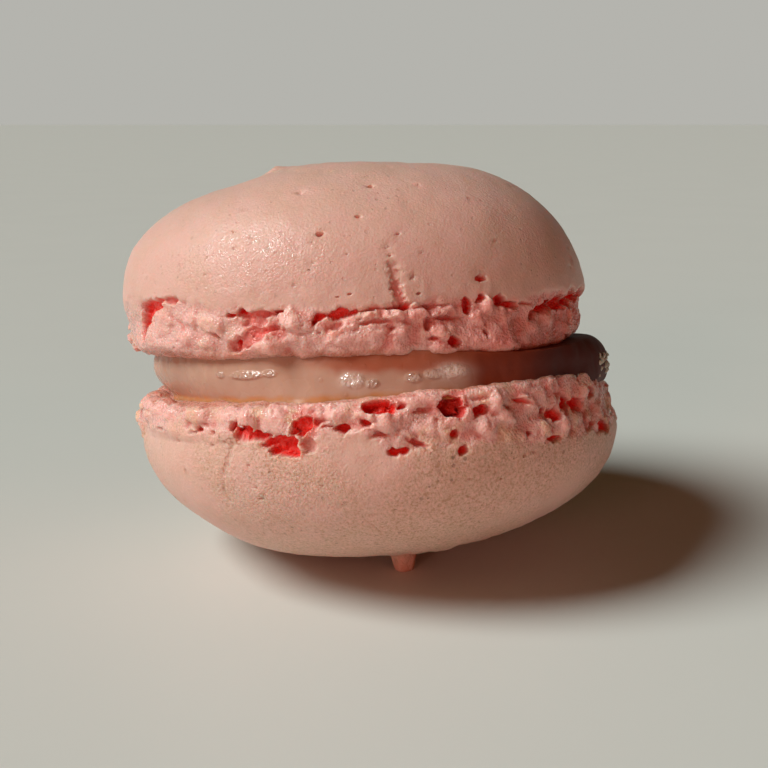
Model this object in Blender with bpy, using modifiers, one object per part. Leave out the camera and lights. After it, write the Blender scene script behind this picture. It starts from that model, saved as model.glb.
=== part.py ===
"""A French macaron: two almond meringue shells with ruffled feet, stuck together by a disc of filling.

Each shell is shaped dome up about its own axis, with the base of its foot at z = 0, and the lower one
is then turned over. The lower dome is round underneath and carries the nub that the piping left, so
the macaron leans back and a little to one side: it rests on that dome's flank and on the nub's tip.
An azimuth is counted from the front, -Y, and is positive towards the right, +X.
"""

import math
import random
from dataclasses import dataclass

import bmesh
import bpy
from mathutils import Vector, noise

MM = 0.001

# The whole macaron
FILLING_GAP = 3.0 * MM  # between the bases of the two shells
CLEARANCE = 0.3 * MM  # between the filling and each shell
LEAN_BACK = math.radians(9.7)
LEAN_SIDE = math.radians(2.6)  # the right side is the higher one
FLAT_DEPTH = 0.14 * MM  # what the flat spots take off the flank and the nub

# How finely the solids are made
TURN_STEPS = 60
DOME_RINGS = 11
EDGE_STEPS = 4
NUB_STEPS = 16

# The crack between a shell's crust and its foot
LIP_DROP = 0.35 * MM
CRACK_HEIGHT = 0.5 * MM
SHALLOW_CRACK = 0.55 * MM
DEEP_CRACK = 1.7 * MM
CRACK_FADE = math.radians(5)  # over which an open crack closes at its ends

# The foot's froth
EDGE_WIDTH = 2.0 * MM  # of the foot's rounded lower edge
RUFFLE_HEIGHT = 0.6 * MM
RUFFLE_LENGTH = 3.2 * MM
SWELL_HEIGHT = 0.3 * MM
SWELL_LENGTH = 11 * MM
HIDDEN_DENTS = 9  # hollows round the sides and the back of each foot

# The nub under the lower shell, from the middle of the dome
NUB_RIGHT = 1.6 * MM
NUB_FRONT = 4.0 * MM
NUB_RADIUS = 1.25 * MM
NUB_TIP_RADIUS = 0.8 * MM
NUB_DROP = 0.4 * MM  # of the dome's surface there, below its highest point
NUB_ROOT = 1.2 * MM  # how far it reaches into the shell

# The disc of filling
FILLING_RADIUS = 19.9 * MM
FILLING_BULGE = 0.6 * MM  # how far its edge stands out at mid height
FILLING_SQUEEZE = 0.7 * MM  # how much further it was pressed out on the right
FILLING_FLARE = 0.9 * MM  # how much further its upper edge reaches on the left
FILLING_TUCK = 3.0 * MM  # how far its lower edge draws in there from the upper one
FILLING_WAVE = 0.3 * MM
FILLING_WAVE_LENGTH = 7 * MM


@dataclass(frozen=True)
class Dent:
    """A hollow that a burst bubble left in the side of a foot."""

    azimuth: float  # degrees
    height: float  # above the foot's base
    width: float  # where it is half as deep
    tallness: float
    depth: float


@dataclass(frozen=True)
class Shell:
    """The sizes of one shell."""

    name: str
    rim_radius: float  # of the crust, where it is widest
    dome_height: float  # from the rim to the top of the crust
    dome_power: float  # of the superellipse: 2 is an ellipse, and more has fuller shoulders
    power_change: float  # how much the power grows towards the right side
    dome_slant: float  # rise of the dome's top towards the right
    foot_height: float
    foot_radius: float
    foot_spread: float  # how much further the foot stands out on the left, and less on the right
    edge_height: float  # of the foot's rounded lower edge
    shift: float  # of the shell's axis to the right
    facing: int  # 1 as shaped, -1 where the shell is turned over
    cracks: tuple  # (start, end) in degrees, where the crust stands open above the foot
    dents: tuple
    seed: int


UPPER = Shell(
    name="upper_shell",
    rim_radius=20.7 * MM,
    dome_height=12.65 * MM,
    dome_power=2.46,
    power_change=-0.39,
    dome_slant=0.089,
    foot_height=3.8 * MM,
    foot_radius=20.7 * MM,
    foot_spread=0.05 * MM,
    edge_height=2.0 * MM,
    shift=-1.8 * MM,
    facing=1,
    cracks=((-27, -13), (-8, 1), (44, 73), (118, 141), (166, 188), (222, 240)),
    dents=(
        Dent(-53, 2.9 * MM, 1.8 * MM, 1.9 * MM, 1.6 * MM),
        Dent(-22, 1.9 * MM, 3.6 * MM, 1.3 * MM, 1.1 * MM),
        Dent(21, 0.9 * MM, 1.6 * MM, 1.0 * MM, 0.9 * MM),
    ),
    seed=11,
)
LOWER = Shell(
    name="lower_shell",
    rim_radius=21.2 * MM,
    dome_height=11.5 * MM,
    dome_power=2.33,
    power_change=0.26,
    dome_slant=-0.082,
    foot_height=3.3 * MM,
    foot_radius=21.35 * MM,
    foot_spread=0.5 * MM,
    edge_height=1.5 * MM,
    shift=0.0,
    facing=-1,
    cracks=((-31, -16), (2, 9), (52, 66), (95, 112), (150, 174), (205, 228)),
    dents=(
        Dent(-22, 2.6 * MM, 3.8 * MM, 1.2 * MM, 1.3 * MM),
        Dent(-9, 2.0 * MM, 2.4 * MM, 1.2 * MM, 1.0 * MM),
        Dent(15, 0.9 * MM, 1.7 * MM, 1.4 * MM, 1.6 * MM),
        Dent(43, 1.9 * MM, 3.0 * MM, 1.2 * MM, 1.0 * MM),
    ),
    seed=23,
)


def azimuth_of(x, y, facing):
    """The azimuth of a point of a shell, in its own frame, for a shell that faces up or down."""
    return math.atan2(x, -y * facing)


def dome_point(angle, radius, height, power):
    """A point (radius, height) on a superellipse: an angle of 0 is its rim, a quarter turn its top."""
    across = max(math.cos(angle), 0.0) ** (2 / power)
    up = max(math.sin(angle), 0.0) ** (2 / power)
    return radius * across, height * up


def shell_profile(shell):
    """The half section of a shell, from the top of the dome to the middle of the base."""
    points = []
    for ring in range(DOME_RINGS + 1):
        angle = math.pi / 2 * (1 - ring / DOME_RINGS)
        radius, height = dome_point(angle, shell.rim_radius, shell.dome_height, shell.dome_power)
        points.append((radius, shell.foot_height + height))
    crack_top = shell.foot_height - LIP_DROP
    crack_bottom = crack_top - CRACK_HEIGHT
    inside = shell.rim_radius - DEEP_CRACK
    points.append((shell.rim_radius - LIP_DROP, crack_top))
    points.append((inside, crack_top - 0.1 * MM))
    points.append((inside, crack_bottom))
    points.append((shell.foot_radius - LIP_DROP, crack_bottom - 0.1 * MM))
    for step in range(EDGE_STEPS + 1):
        angle = math.pi / 2 * step / EDGE_STEPS
        out = shell.foot_radius - EDGE_WIDTH * (1 - math.cos(angle))
        points.append((out, shell.edge_height * (1 - math.sin(angle))))
    return points + [(shell.foot_radius - 2.5 * EDGE_WIDTH, 0.0), (0.0, 0.0)]


def turned(name, profile, steps):
    """A solid turned about the Z axis from a half section that starts and ends on the axis."""
    mesh = bpy.data.meshes.new(name)
    corners = [(radius, 0, height) for radius, height in profile]
    mesh.from_pydata(corners, [(i, i + 1) for i in range(len(corners) - 1)], [])
    obj = bpy.data.objects.new(name, mesh)
    bpy.context.scene.collection.objects.link(obj)
    turn = obj.modifiers.new("Turn", "SCREW")
    turn.steps = steps
    turn.render_steps = steps
    turn.use_merge_vertices = True
    turn.merge_threshold = 0.01 * MM
    return applied(obj)


def applied(obj):
    """The object with its modifiers made part of its mesh."""
    graph = bpy.context.evaluated_depsgraph_get()
    mesh = bpy.data.meshes.new_from_object(obj.evaluated_get(graph))
    profile = obj.data
    obj.modifiers.clear()
    obj.data = mesh
    bpy.data.meshes.remove(profile)
    mesh.name = obj.name
    return obj


def halve_foot_steps(obj, shell):
    """Halves the steps of the turn in the foot alone, which is more uneven than the dome."""
    bm = bmesh.new()
    bm.from_mesh(obj.data)
    edges = []
    for edge in bm.edges:
        a, b = (vert.co for vert in edge.verts)
        in_foot = a.z < shell.foot_height - LIP_DROP / 2
        outside = a.xy.length > shell.foot_radius - 1.5 * EDGE_WIDTH
        level = abs(a.z - b.z) < 0.001 * MM and abs(a.xy.length - b.xy.length) < 0.001 * MM
        if in_foot and outside and level:
            edges.append(edge)
    cut = bmesh.ops.subdivide_edges(bm, edges=edges, cuts=1)
    for item in cut["geom_inner"]:
        if isinstance(item, bmesh.types.BMVert):
            item.co.xy = item.co.xy / math.cos(math.pi / TURN_STEPS)
    bm.to_mesh(obj.data)
    bm.free()


def all_dents(shell):
    """The dents at the front, and others placed at random round the sides and the back."""
    rng = random.Random(shell.seed)
    dents = list(shell.dents)
    for place in range(HIDDEN_DENTS):
        dent = Dent(
            azimuth=80 + 200 * (place + rng.uniform(0.2, 0.8)) / HIDDEN_DENTS,
            height=rng.uniform(1.0, 2.6) * MM,
            width=rng.uniform(1.7, 4.0) * MM,
            tallness=rng.uniform(1.0, 1.5) * MM,
            depth=rng.uniform(0.7, 1.5) * MM,
        )
        dents.append(dent)
    return dents


def dent_depth(dent, azimuth, height, radius):
    """How deep a dent is at a place on the foot's side."""
    turn = math.remainder(azimuth - math.radians(dent.azimuth), math.tau)
    across = turn * radius / (dent.width / 2)
    up = (height - dent.height) / (dent.tallness / 2)
    return dent.depth * max(0.0, 1 - (across**2 + up**2) / 2)


def crack_opening(shell, azimuth):
    """0 where the crust meets the foot in a shallow crease, and 1 where it stands open."""
    opening = 0.0
    for start, end in shell.cracks:
        middle = math.radians(start + end) / 2
        half = math.radians(end - start) / 2
        past_end = abs(math.remainder(azimuth - middle, math.tau)) - half
        opening = max(opening, min(1.0, max(0.0, -past_end / CRACK_FADE)))
    return opening


def ruffle(shell, x, y, z):
    """The height of the foot's froth at a point of its side."""
    return RUFFLE_HEIGHT * noise.noise(Vector((x, y, z)) / RUFFLE_LENGTH + Vector((shell.seed, 0, 0)))


def swell(shell, x, y, z):
    """The slow unevenness of a shell, which spread as it baked."""
    return SWELL_HEIGHT * noise.noise(Vector((x, y, z)) / SWELL_LENGTH + Vector((0, shell.seed, 0)))


def uneven_dome_point(shell, point):
    """A point of the turned dome moved to the real one, which slants and is fuller on one side."""
    across = (point.xy.length / shell.rim_radius) ** (shell.dome_power / 2)
    up = ((point.z - shell.foot_height) / shell.dome_height) ** (shell.dome_power / 2)
    angle = math.atan2(up, across)
    azimuth = azimuth_of(point.x, point.y, shell.facing)
    power = shell.dome_power + shell.power_change * math.sin(azimuth)
    radius, height = dome_point(angle, shell.rim_radius, shell.dome_height, power)
    x = radius * math.sin(azimuth)
    y = -radius * math.cos(azimuth) * shell.facing
    height *= 1 + shell.dome_slant * x / shell.dome_height
    uneven = swell(shell, x, y, shell.foot_height + height)
    steepness = math.cos(angle)
    outward = 1 + uneven * steepness / shell.rim_radius
    return Vector((x * outward, y * outward, shell.foot_height + height + uneven * (1 - steepness)))


def uneven_foot_point(shell, dents, point):
    """A point of the turned foot moved to the real one, with its froth, its dents and its crack."""
    radius = point.xy.length
    azimuth = azimuth_of(point.x, point.y, shell.facing)
    hollow = max(dent_depth(dent, azimuth, point.z, radius) for dent in dents)
    inside_crack = radius < shell.rim_radius - 0.9 * DEEP_CRACK and point.z > shell.edge_height
    if inside_crack:
        closed = 1 - crack_opening(shell, azimuth)
        outward = closed * (DEEP_CRACK - SHALLOW_CRACK) - hollow / 2
    else:
        below_rim = min(1.0, (shell.foot_height - point.z) / LIP_DROP)
        above_base = min(1.0, point.z / (0.5 * shell.edge_height))
        froth = ruffle(shell, *point) - shell.foot_spread * math.sin(azimuth)
        outward = below_rim * above_base * (froth - hollow)
    scale = (radius + outward + swell(shell, *point)) / radius
    return Vector((point.x * scale, point.y * scale, point.z))


def make_shell(shell, material):
    obj = turned(shell.name, shell_profile(shell), TURN_STEPS)
    halve_foot_steps(obj, shell)
    dents = all_dents(shell)
    for vert in obj.data.vertices:
        if vert.co.z > shell.foot_height:
            vert.co = uneven_dome_point(shell, vert.co)
        elif vert.co.xy.length > shell.foot_radius - 1.5 * EDGE_WIDTH:
            vert.co = uneven_foot_point(shell, dents, vert.co)
    obj.location = (shell.shift, 0, shell.facing * FILLING_GAP / 2)
    if shell.facing < 0:
        obj.rotation_euler = (math.pi, 0, 0)
    finish(obj, material)
    return obj


def filling_profile():
    """The half section of the filling: two flat faces, and an edge that bulges between them."""
    half = FILLING_GAP / 2 - CLEARANCE
    inner = FILLING_RADIUS - 4 * MM
    points = [(0.0, half), (inner, half)]
    for step in range(7):
        angle = math.pi / 2 * (1 - step / 3)
        out = FILLING_RADIUS - FILLING_BULGE * (1 - math.cos(angle))
        points.append((out, half * math.sin(angle)))
    return points + [(inner, -half), (0.0, -half)]


def make_filling(material):
    obj = turned("filling", filling_profile(), TURN_STEPS)
    half = FILLING_GAP / 2 - CLEARANCE
    for vert in obj.data.vertices:
        radius = vert.co.xy.length
        if radius < FILLING_RADIUS - 3 * MM:
            continue
        rightward = vert.co.x / radius
        below = (half - vert.co.z) / (2 * half)
        outward = FILLING_WAVE * noise.noise(vert.co / FILLING_WAVE_LENGTH)
        outward += FILLING_SQUEEZE * max(0.0, rightward)
        outward += (FILLING_FLARE - FILLING_TUCK * below) * max(0.0, -rightward) ** 2
        vert.co.xy = vert.co.xy * (1 + outward / radius)
    finish(obj, material)
    return obj


def table_height(lower_shell):
    """The height of the surface that the leaning shell's round flank is pressed against."""
    return min(point.z for point in world_points(lower_shell)) + FLAT_DEPTH


def make_nub(lower_shell, table):
    """The nub, as a turned pin with a round tip, long enough to reach the table."""
    foot = Vector((NUB_RIGHT, NUB_FRONT, LOWER.foot_height + LOWER.dome_height - NUB_DROP))
    along = lower_shell.matrix_world.to_3x3() @ Vector((0, 0, 1))
    reach = (table - (lower_shell.matrix_world @ foot).z) / along.z
    length = reach + FLAT_DEPTH
    profile = [(0.0, length)]
    for step in range(1, 4):
        angle = math.pi / 2 * (1 - step / 3)
        drop = NUB_TIP_RADIUS * (1 - math.sin(angle))
        profile.append((NUB_TIP_RADIUS * math.cos(angle), length - drop))
    profile += [(NUB_RADIUS, 0.0), (NUB_RADIUS, -NUB_ROOT), (0.0, -NUB_ROOT)]
    nub = turned("nub", profile, NUB_STEPS)
    nub.parent = lower_shell
    nub.location = foot
    keep_as_cutter(nub)
    union = lower_shell.modifiers.new("Nub", "BOOLEAN")
    union.operation = "UNION"
    union.object = nub


def make_table_cutter(lower_shell):
    """A block whose top is the table, which presses flat spots on the flank and on the nub."""
    size = 80 * MM
    bpy.ops.mesh.primitive_cube_add(size=size, location=(0, 0, -size / 2))
    block = bpy.context.object
    block.name = "table"
    keep_as_cutter(block)
    cut = lower_shell.modifiers.new("Flat spots", "BOOLEAN")
    cut.operation = "DIFFERENCE"
    cut.object = block


def centre_on_origin(whole, pieces):
    """Moves the macaron along the table so that its box is centred on the origin."""
    points = [point for piece in pieces for point in world_points(piece)]
    for axis in (0, 1):
        low = min(point[axis] for point in points)
        high = max(point[axis] for point in points)
        whole.location[axis] -= (low + high) / 2


def world_points(obj):
    bpy.context.view_layer.update()
    return [obj.matrix_world @ vert.co for vert in obj.data.vertices]


def finish(obj, material):
    """Gives a piece its material, its shading and its place in the macaron's collection."""
    obj.data.materials.append(material)
    obj.data.shade_smooth()
    obj.data.set_sharp_from_angle(angle=math.radians(60))
    move_to_collection(obj, "macaron")


def keep_as_cutter(obj):
    obj.hide_render = True
    obj.display_type = "WIRE"
    move_to_collection(obj, "cutters")


def move_to_collection(obj, name):
    target = bpy.data.collections.get(name)
    if target is None:
        target = bpy.data.collections.new(name)
        bpy.context.scene.collection.children.link(target)
    for collection in list(obj.users_collection):
        collection.objects.unlink(obj)
    target.objects.link(obj)


def make_material(name, colour, roughness):
    material = bpy.data.materials.new(name)
    material.use_nodes = True
    shader = material.node_tree.nodes["Principled BSDF"]
    shader.inputs["Base Color"].default_value = (*colour, 1)
    shader.inputs["Roughness"].default_value = roughness
    shader.inputs["Metallic"].default_value = 0.0
    return material


def main():
    for obj in list(bpy.data.objects):
        bpy.data.objects.remove(obj)
    crust = make_material("Pink almond crust", (0.81, 0.48, 0.42), 0.7)
    cream = make_material("Pale filling", (0.56, 0.36, 0.26), 0.35)
    upper_shell = make_shell(UPPER, crust)
    lower_shell = make_shell(LOWER, crust)
    filling = make_filling(cream)

    whole = bpy.data.objects.new("whole_macaron", None)
    move_to_collection(whole, "macaron")
    pieces = (upper_shell, filling, lower_shell)
    for piece in pieces:
        piece.parent = whole
    whole.rotation_mode = "YXZ"
    whole.rotation_euler = (-LEAN_BACK, -LEAN_SIDE, 0)

    table = table_height(lower_shell)
    make_nub(lower_shell, table)
    whole.location.z = -table
    centre_on_origin(whole, pieces)
    make_table_cutter(lower_shell)


main()
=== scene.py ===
"""Dresses a French macaron: two cracked, frothy meringue shells, a wet disc of filling and its crumbs.

Each shell is shaped dome up about its own axis, with the base of its foot at z = 0, turned over if it
is the lower one, and then leaned with the whole macaron. An azimuth is counted from the front, -Y,
and is positive towards the right, +X. A height is counted from the base of a shell's own foot.
"""

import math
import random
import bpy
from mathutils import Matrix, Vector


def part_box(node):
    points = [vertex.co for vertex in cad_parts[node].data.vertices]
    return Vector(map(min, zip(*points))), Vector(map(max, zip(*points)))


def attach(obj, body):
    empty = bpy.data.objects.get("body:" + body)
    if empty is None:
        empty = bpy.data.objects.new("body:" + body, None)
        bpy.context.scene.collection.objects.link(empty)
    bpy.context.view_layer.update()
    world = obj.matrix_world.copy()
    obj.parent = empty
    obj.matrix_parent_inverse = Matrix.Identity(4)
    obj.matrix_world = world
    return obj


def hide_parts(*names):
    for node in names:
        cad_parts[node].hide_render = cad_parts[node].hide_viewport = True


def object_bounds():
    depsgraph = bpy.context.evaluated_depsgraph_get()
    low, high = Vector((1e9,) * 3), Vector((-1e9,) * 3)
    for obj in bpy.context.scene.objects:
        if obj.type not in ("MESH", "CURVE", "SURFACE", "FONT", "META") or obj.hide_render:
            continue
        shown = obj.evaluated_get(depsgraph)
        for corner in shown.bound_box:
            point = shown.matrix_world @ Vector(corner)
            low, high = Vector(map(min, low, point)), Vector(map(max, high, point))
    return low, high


bl_info = {
    "name": "Macaron Baker",
    "version": (1, 0, 0),
    "blender": (4, 5, 0),
    "location": "View3D > Sidebar > Macaron",
    "description": "Builds a pink macaron with cracked, frothy feet on a pale table",
    "category": "Add Mesh",
}

from dataclasses import dataclass

import bmesh
import bpy
import numpy as np
from bpy.props import FloatProperty, FloatVectorProperty, IntProperty, PointerProperty
from mathutils import Matrix, Vector, noise

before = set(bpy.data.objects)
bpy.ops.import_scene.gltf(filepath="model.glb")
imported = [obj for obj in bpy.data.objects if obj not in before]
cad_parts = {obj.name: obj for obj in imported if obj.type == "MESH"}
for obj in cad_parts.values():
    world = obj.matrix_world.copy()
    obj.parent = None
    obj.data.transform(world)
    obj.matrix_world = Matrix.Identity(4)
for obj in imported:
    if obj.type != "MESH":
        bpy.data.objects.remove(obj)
CAD_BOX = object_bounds()

MM = 0.001
BODY = "root"

# The whole macaron, as the frame has it
FILLING_GAP = 3.0 * MM  # between the bases of the two shells
LEAN_BACK = math.radians(9.7)
LEAN_SIDE = math.radians(2.6)
EDGE_WIDTH = 2.0 * MM  # of a foot's rounded lower edge
RUFFLE_HEIGHT = 0.6 * MM
RUFFLE_LENGTH = 3.2 * MM
SWELL_HEIGHT = 0.3 * MM
SWELL_LENGTH = 11 * MM
HIDDEN_DENTS = 9
DENTS_FROM = 80  # degrees, round the sides and the back
DENTS_SWEEP = 200
NUB_RIGHT = 1.6 * MM
NUB_FRONT = 4.0 * MM
NUB_RADIUS = 1.15 * MM
FILLING_RADIUS = 19.9 * MM

# The froth and the skin
HIDDEN_PUFFS = 44
PUFFS_FROM = 66  # degrees, as are the other azimuths
PUFFS_SWEEP = 220
HIDDEN_PITS = 60
GLOOMY_DEPTH = 1.8  # in mm: an opening that is deeper gets painted shade inside
SKIN_HOLLOW = 0.8  # the share of a pit's depth that the dome's skin takes
FOOT_HOLLOW = 0.72  # the same for an opening in the foot
SOFT_ENDS = ((-64, 28, 1.0), (84, 16, 0.7))  # (azimuth, reach in degrees, softness) of the front's ends
GLOSS_AZIMUTH = (-22, 24)  # where the domes shine: the middle and the reach, in degrees
GLOSS_HEIGHT = (7.2, 3.2)  # the same for the height, in mm
RIGHT_SHADE_RISE = (-25, 45)  # the azimuths between which painted shade turns the froth rosier, towards its shaded right side
RIGHT_SHADE_END = 150  # the azimuth where that painted shade ends

# The filling
FILLING_SQUEEZE = 0.35 * MM  # by which its edge stands out at the right end
FILLING_FLARE = 0.3 * MM  # the same at the left end
FILLING_DROOP = 0.8 * MM  # of its upper edge, round an azimuth in degrees at the front right
DROOP_AZIMUTH = 36
DROOP_REACH = 26
FILLING_LIP = 0.35 * MM  # by which its lower edge stands out
FILLING_CURL = 1.6 * MM  # by which its upper edge curls in at the right end
FILLING_TUCK = 0.6 * MM  # by which its lower edge tucks in there
FILLING_SLOPE = 2.0 * MM  # by which its lower edge slopes in at the left end
FILLING_WAVE = 0.3 * MM
FILLING_WAVE_LENGTH = 7 * MM
# (azimuth, height in mm, length in mm, tallness in mm, paleness of a painted sheen) of patches of short, wet
# ripples
WET_PATCHES = (
    (-37, 0.4, 0.8, 0.5, 0.0),
    (-30, 0.32, 2.8, 0.6, 0.1),
    (-24, 0.4, 1.2, 0.5, 0.0),
    (-5.0, -0.3, 1.8, 1.1, 0.9),
    (-0.8, -0.6, 0.9, 0.6, 0.2),
    (8.0, -0.3, 1.2, 0.7, 0.3),
    (12.5, -0.1, 1.4, 0.7, 0.6),
    (16.5, 0.05, 2.4, 1.1, 0.95),
)

# The tones that no setting changes
BUFF_FROTH = (0.72, 0.46, 0.32)
# A painted sheen: the whitish, broad highlight of the wet cream.
PAINTED_SHEEN_CREAM = (0.78, 0.62, 0.54)
# The crumbs' pale froth colour, dulled to grey as painted shade.
SHADED_PALE_CRUMB = (0.56, 0.60, 0.50)
SHADED_ROSY_CRUMB = (0.40, 0.35, 0.29)
WARM_SHADE = (1.0, 0.66, 0.12)
PALE_WALL = (1.0, 0.99, 0.92)

# How finely the pieces are made
TINY = 0.001 * MM
OUTLINE_POINTS = 600
EDGE_POINTS = 30
RING_POINTS = 240
FIRST_STEPS = 112  # of the turn, at the middle of a dome
HALVING_RADIUS = 5 * MM  # beyond this the steps are halved
DOME_STEP = 0.5 * MM
FOOT_STEP = 0.15 * MM
BASE_STEP = 0.24 * MM
FINE_BAND = 1.4 * MM  # of the dome above its rim, as finely made as the foot
BASE_BAND = 1.8 * MM  # of the flat base inside its rounded edge that is still rough
REFINED_TALLNESS = 0.4  # in mm: the walls of taller openings get a finer mesh
REFINED_BEHIND = 0.55  # the same for the openings behind
REFINED_AGAIN = 2.0  # the tallness times the depth, in mm, of openings that get the finest mesh
REFINED_MARGINS = (0.35, 0.1, 0.02)  # in mm round the marks, for the three times that the mesh is refined
FILLING_STEPS = 180
FILLING_RINGS = 44

# The stage
TABLE_REACH = 8.0
CAMERA_LENS = 53.8
CAMERA_AIM = Vector((1.2, 0.2, -2.65)) * MM  # from the middle of the macaron's box
LAMP_DISTANCE = 0.5
BOUNCE_SOFTNESS = math.radians(16)
GLOW_SOFTNESS = math.radians(30)


@dataclass(frozen=True)
class Mark:
    """An opening that a bubble or a crack left in the side of a foot, or a puff that stands out of it."""

    azimuth: float  # degrees
    height: float  # mm, as are the three sizes
    length: float
    tallness: float
    relief: float  # the depth of an opening, or the rise of a puff
    tilt: float = 0.0  # degrees by which its right end is the higher one


@dataclass(frozen=True)
class Shell:
    """The sizes and the marks of one shell."""

    name: str
    rim_radius: float
    dome_height: float
    dome_power: float
    power_change: float
    dome_slant: float
    foot_height: float
    foot_radius: float
    foot_spread: float
    edge_height: float
    shift: float
    facing: int  # 1 with its dome up, -1 where it is turned over
    seed: int
    crust_line: tuple  # (azimuth, height in mm) of the crust's lower edge, where it was baked open
    cracks: tuple  # (start, end) in degrees round the sides and the back, where the edge stands open
    hollows: tuple
    puffs: tuple
    bulges: tuple  # (azimuth, reach in degrees, rise in mm) of swellings and dips of the foot
    brims: tuple  # (azimuth, reach in degrees, drop in mm, spread in mm) where its edge hugs the filling
    knobs: tuple  # (x, y, radius, rise) in mm of swellings and dips of the dome
    pits: tuple  # (azimuth, height in mm, radius in mm) of burst bubbles in the dome
    fissures: tuple  # (width in mm, depth in mm, places) of fine cracks in the dome
    lip_height: float  # of the smooth, toasted band at the base
    toast: float  # how toasted the dome is
    rosy_shade: float  # how much redder its froth is painted at the front right, as painted shade


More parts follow.
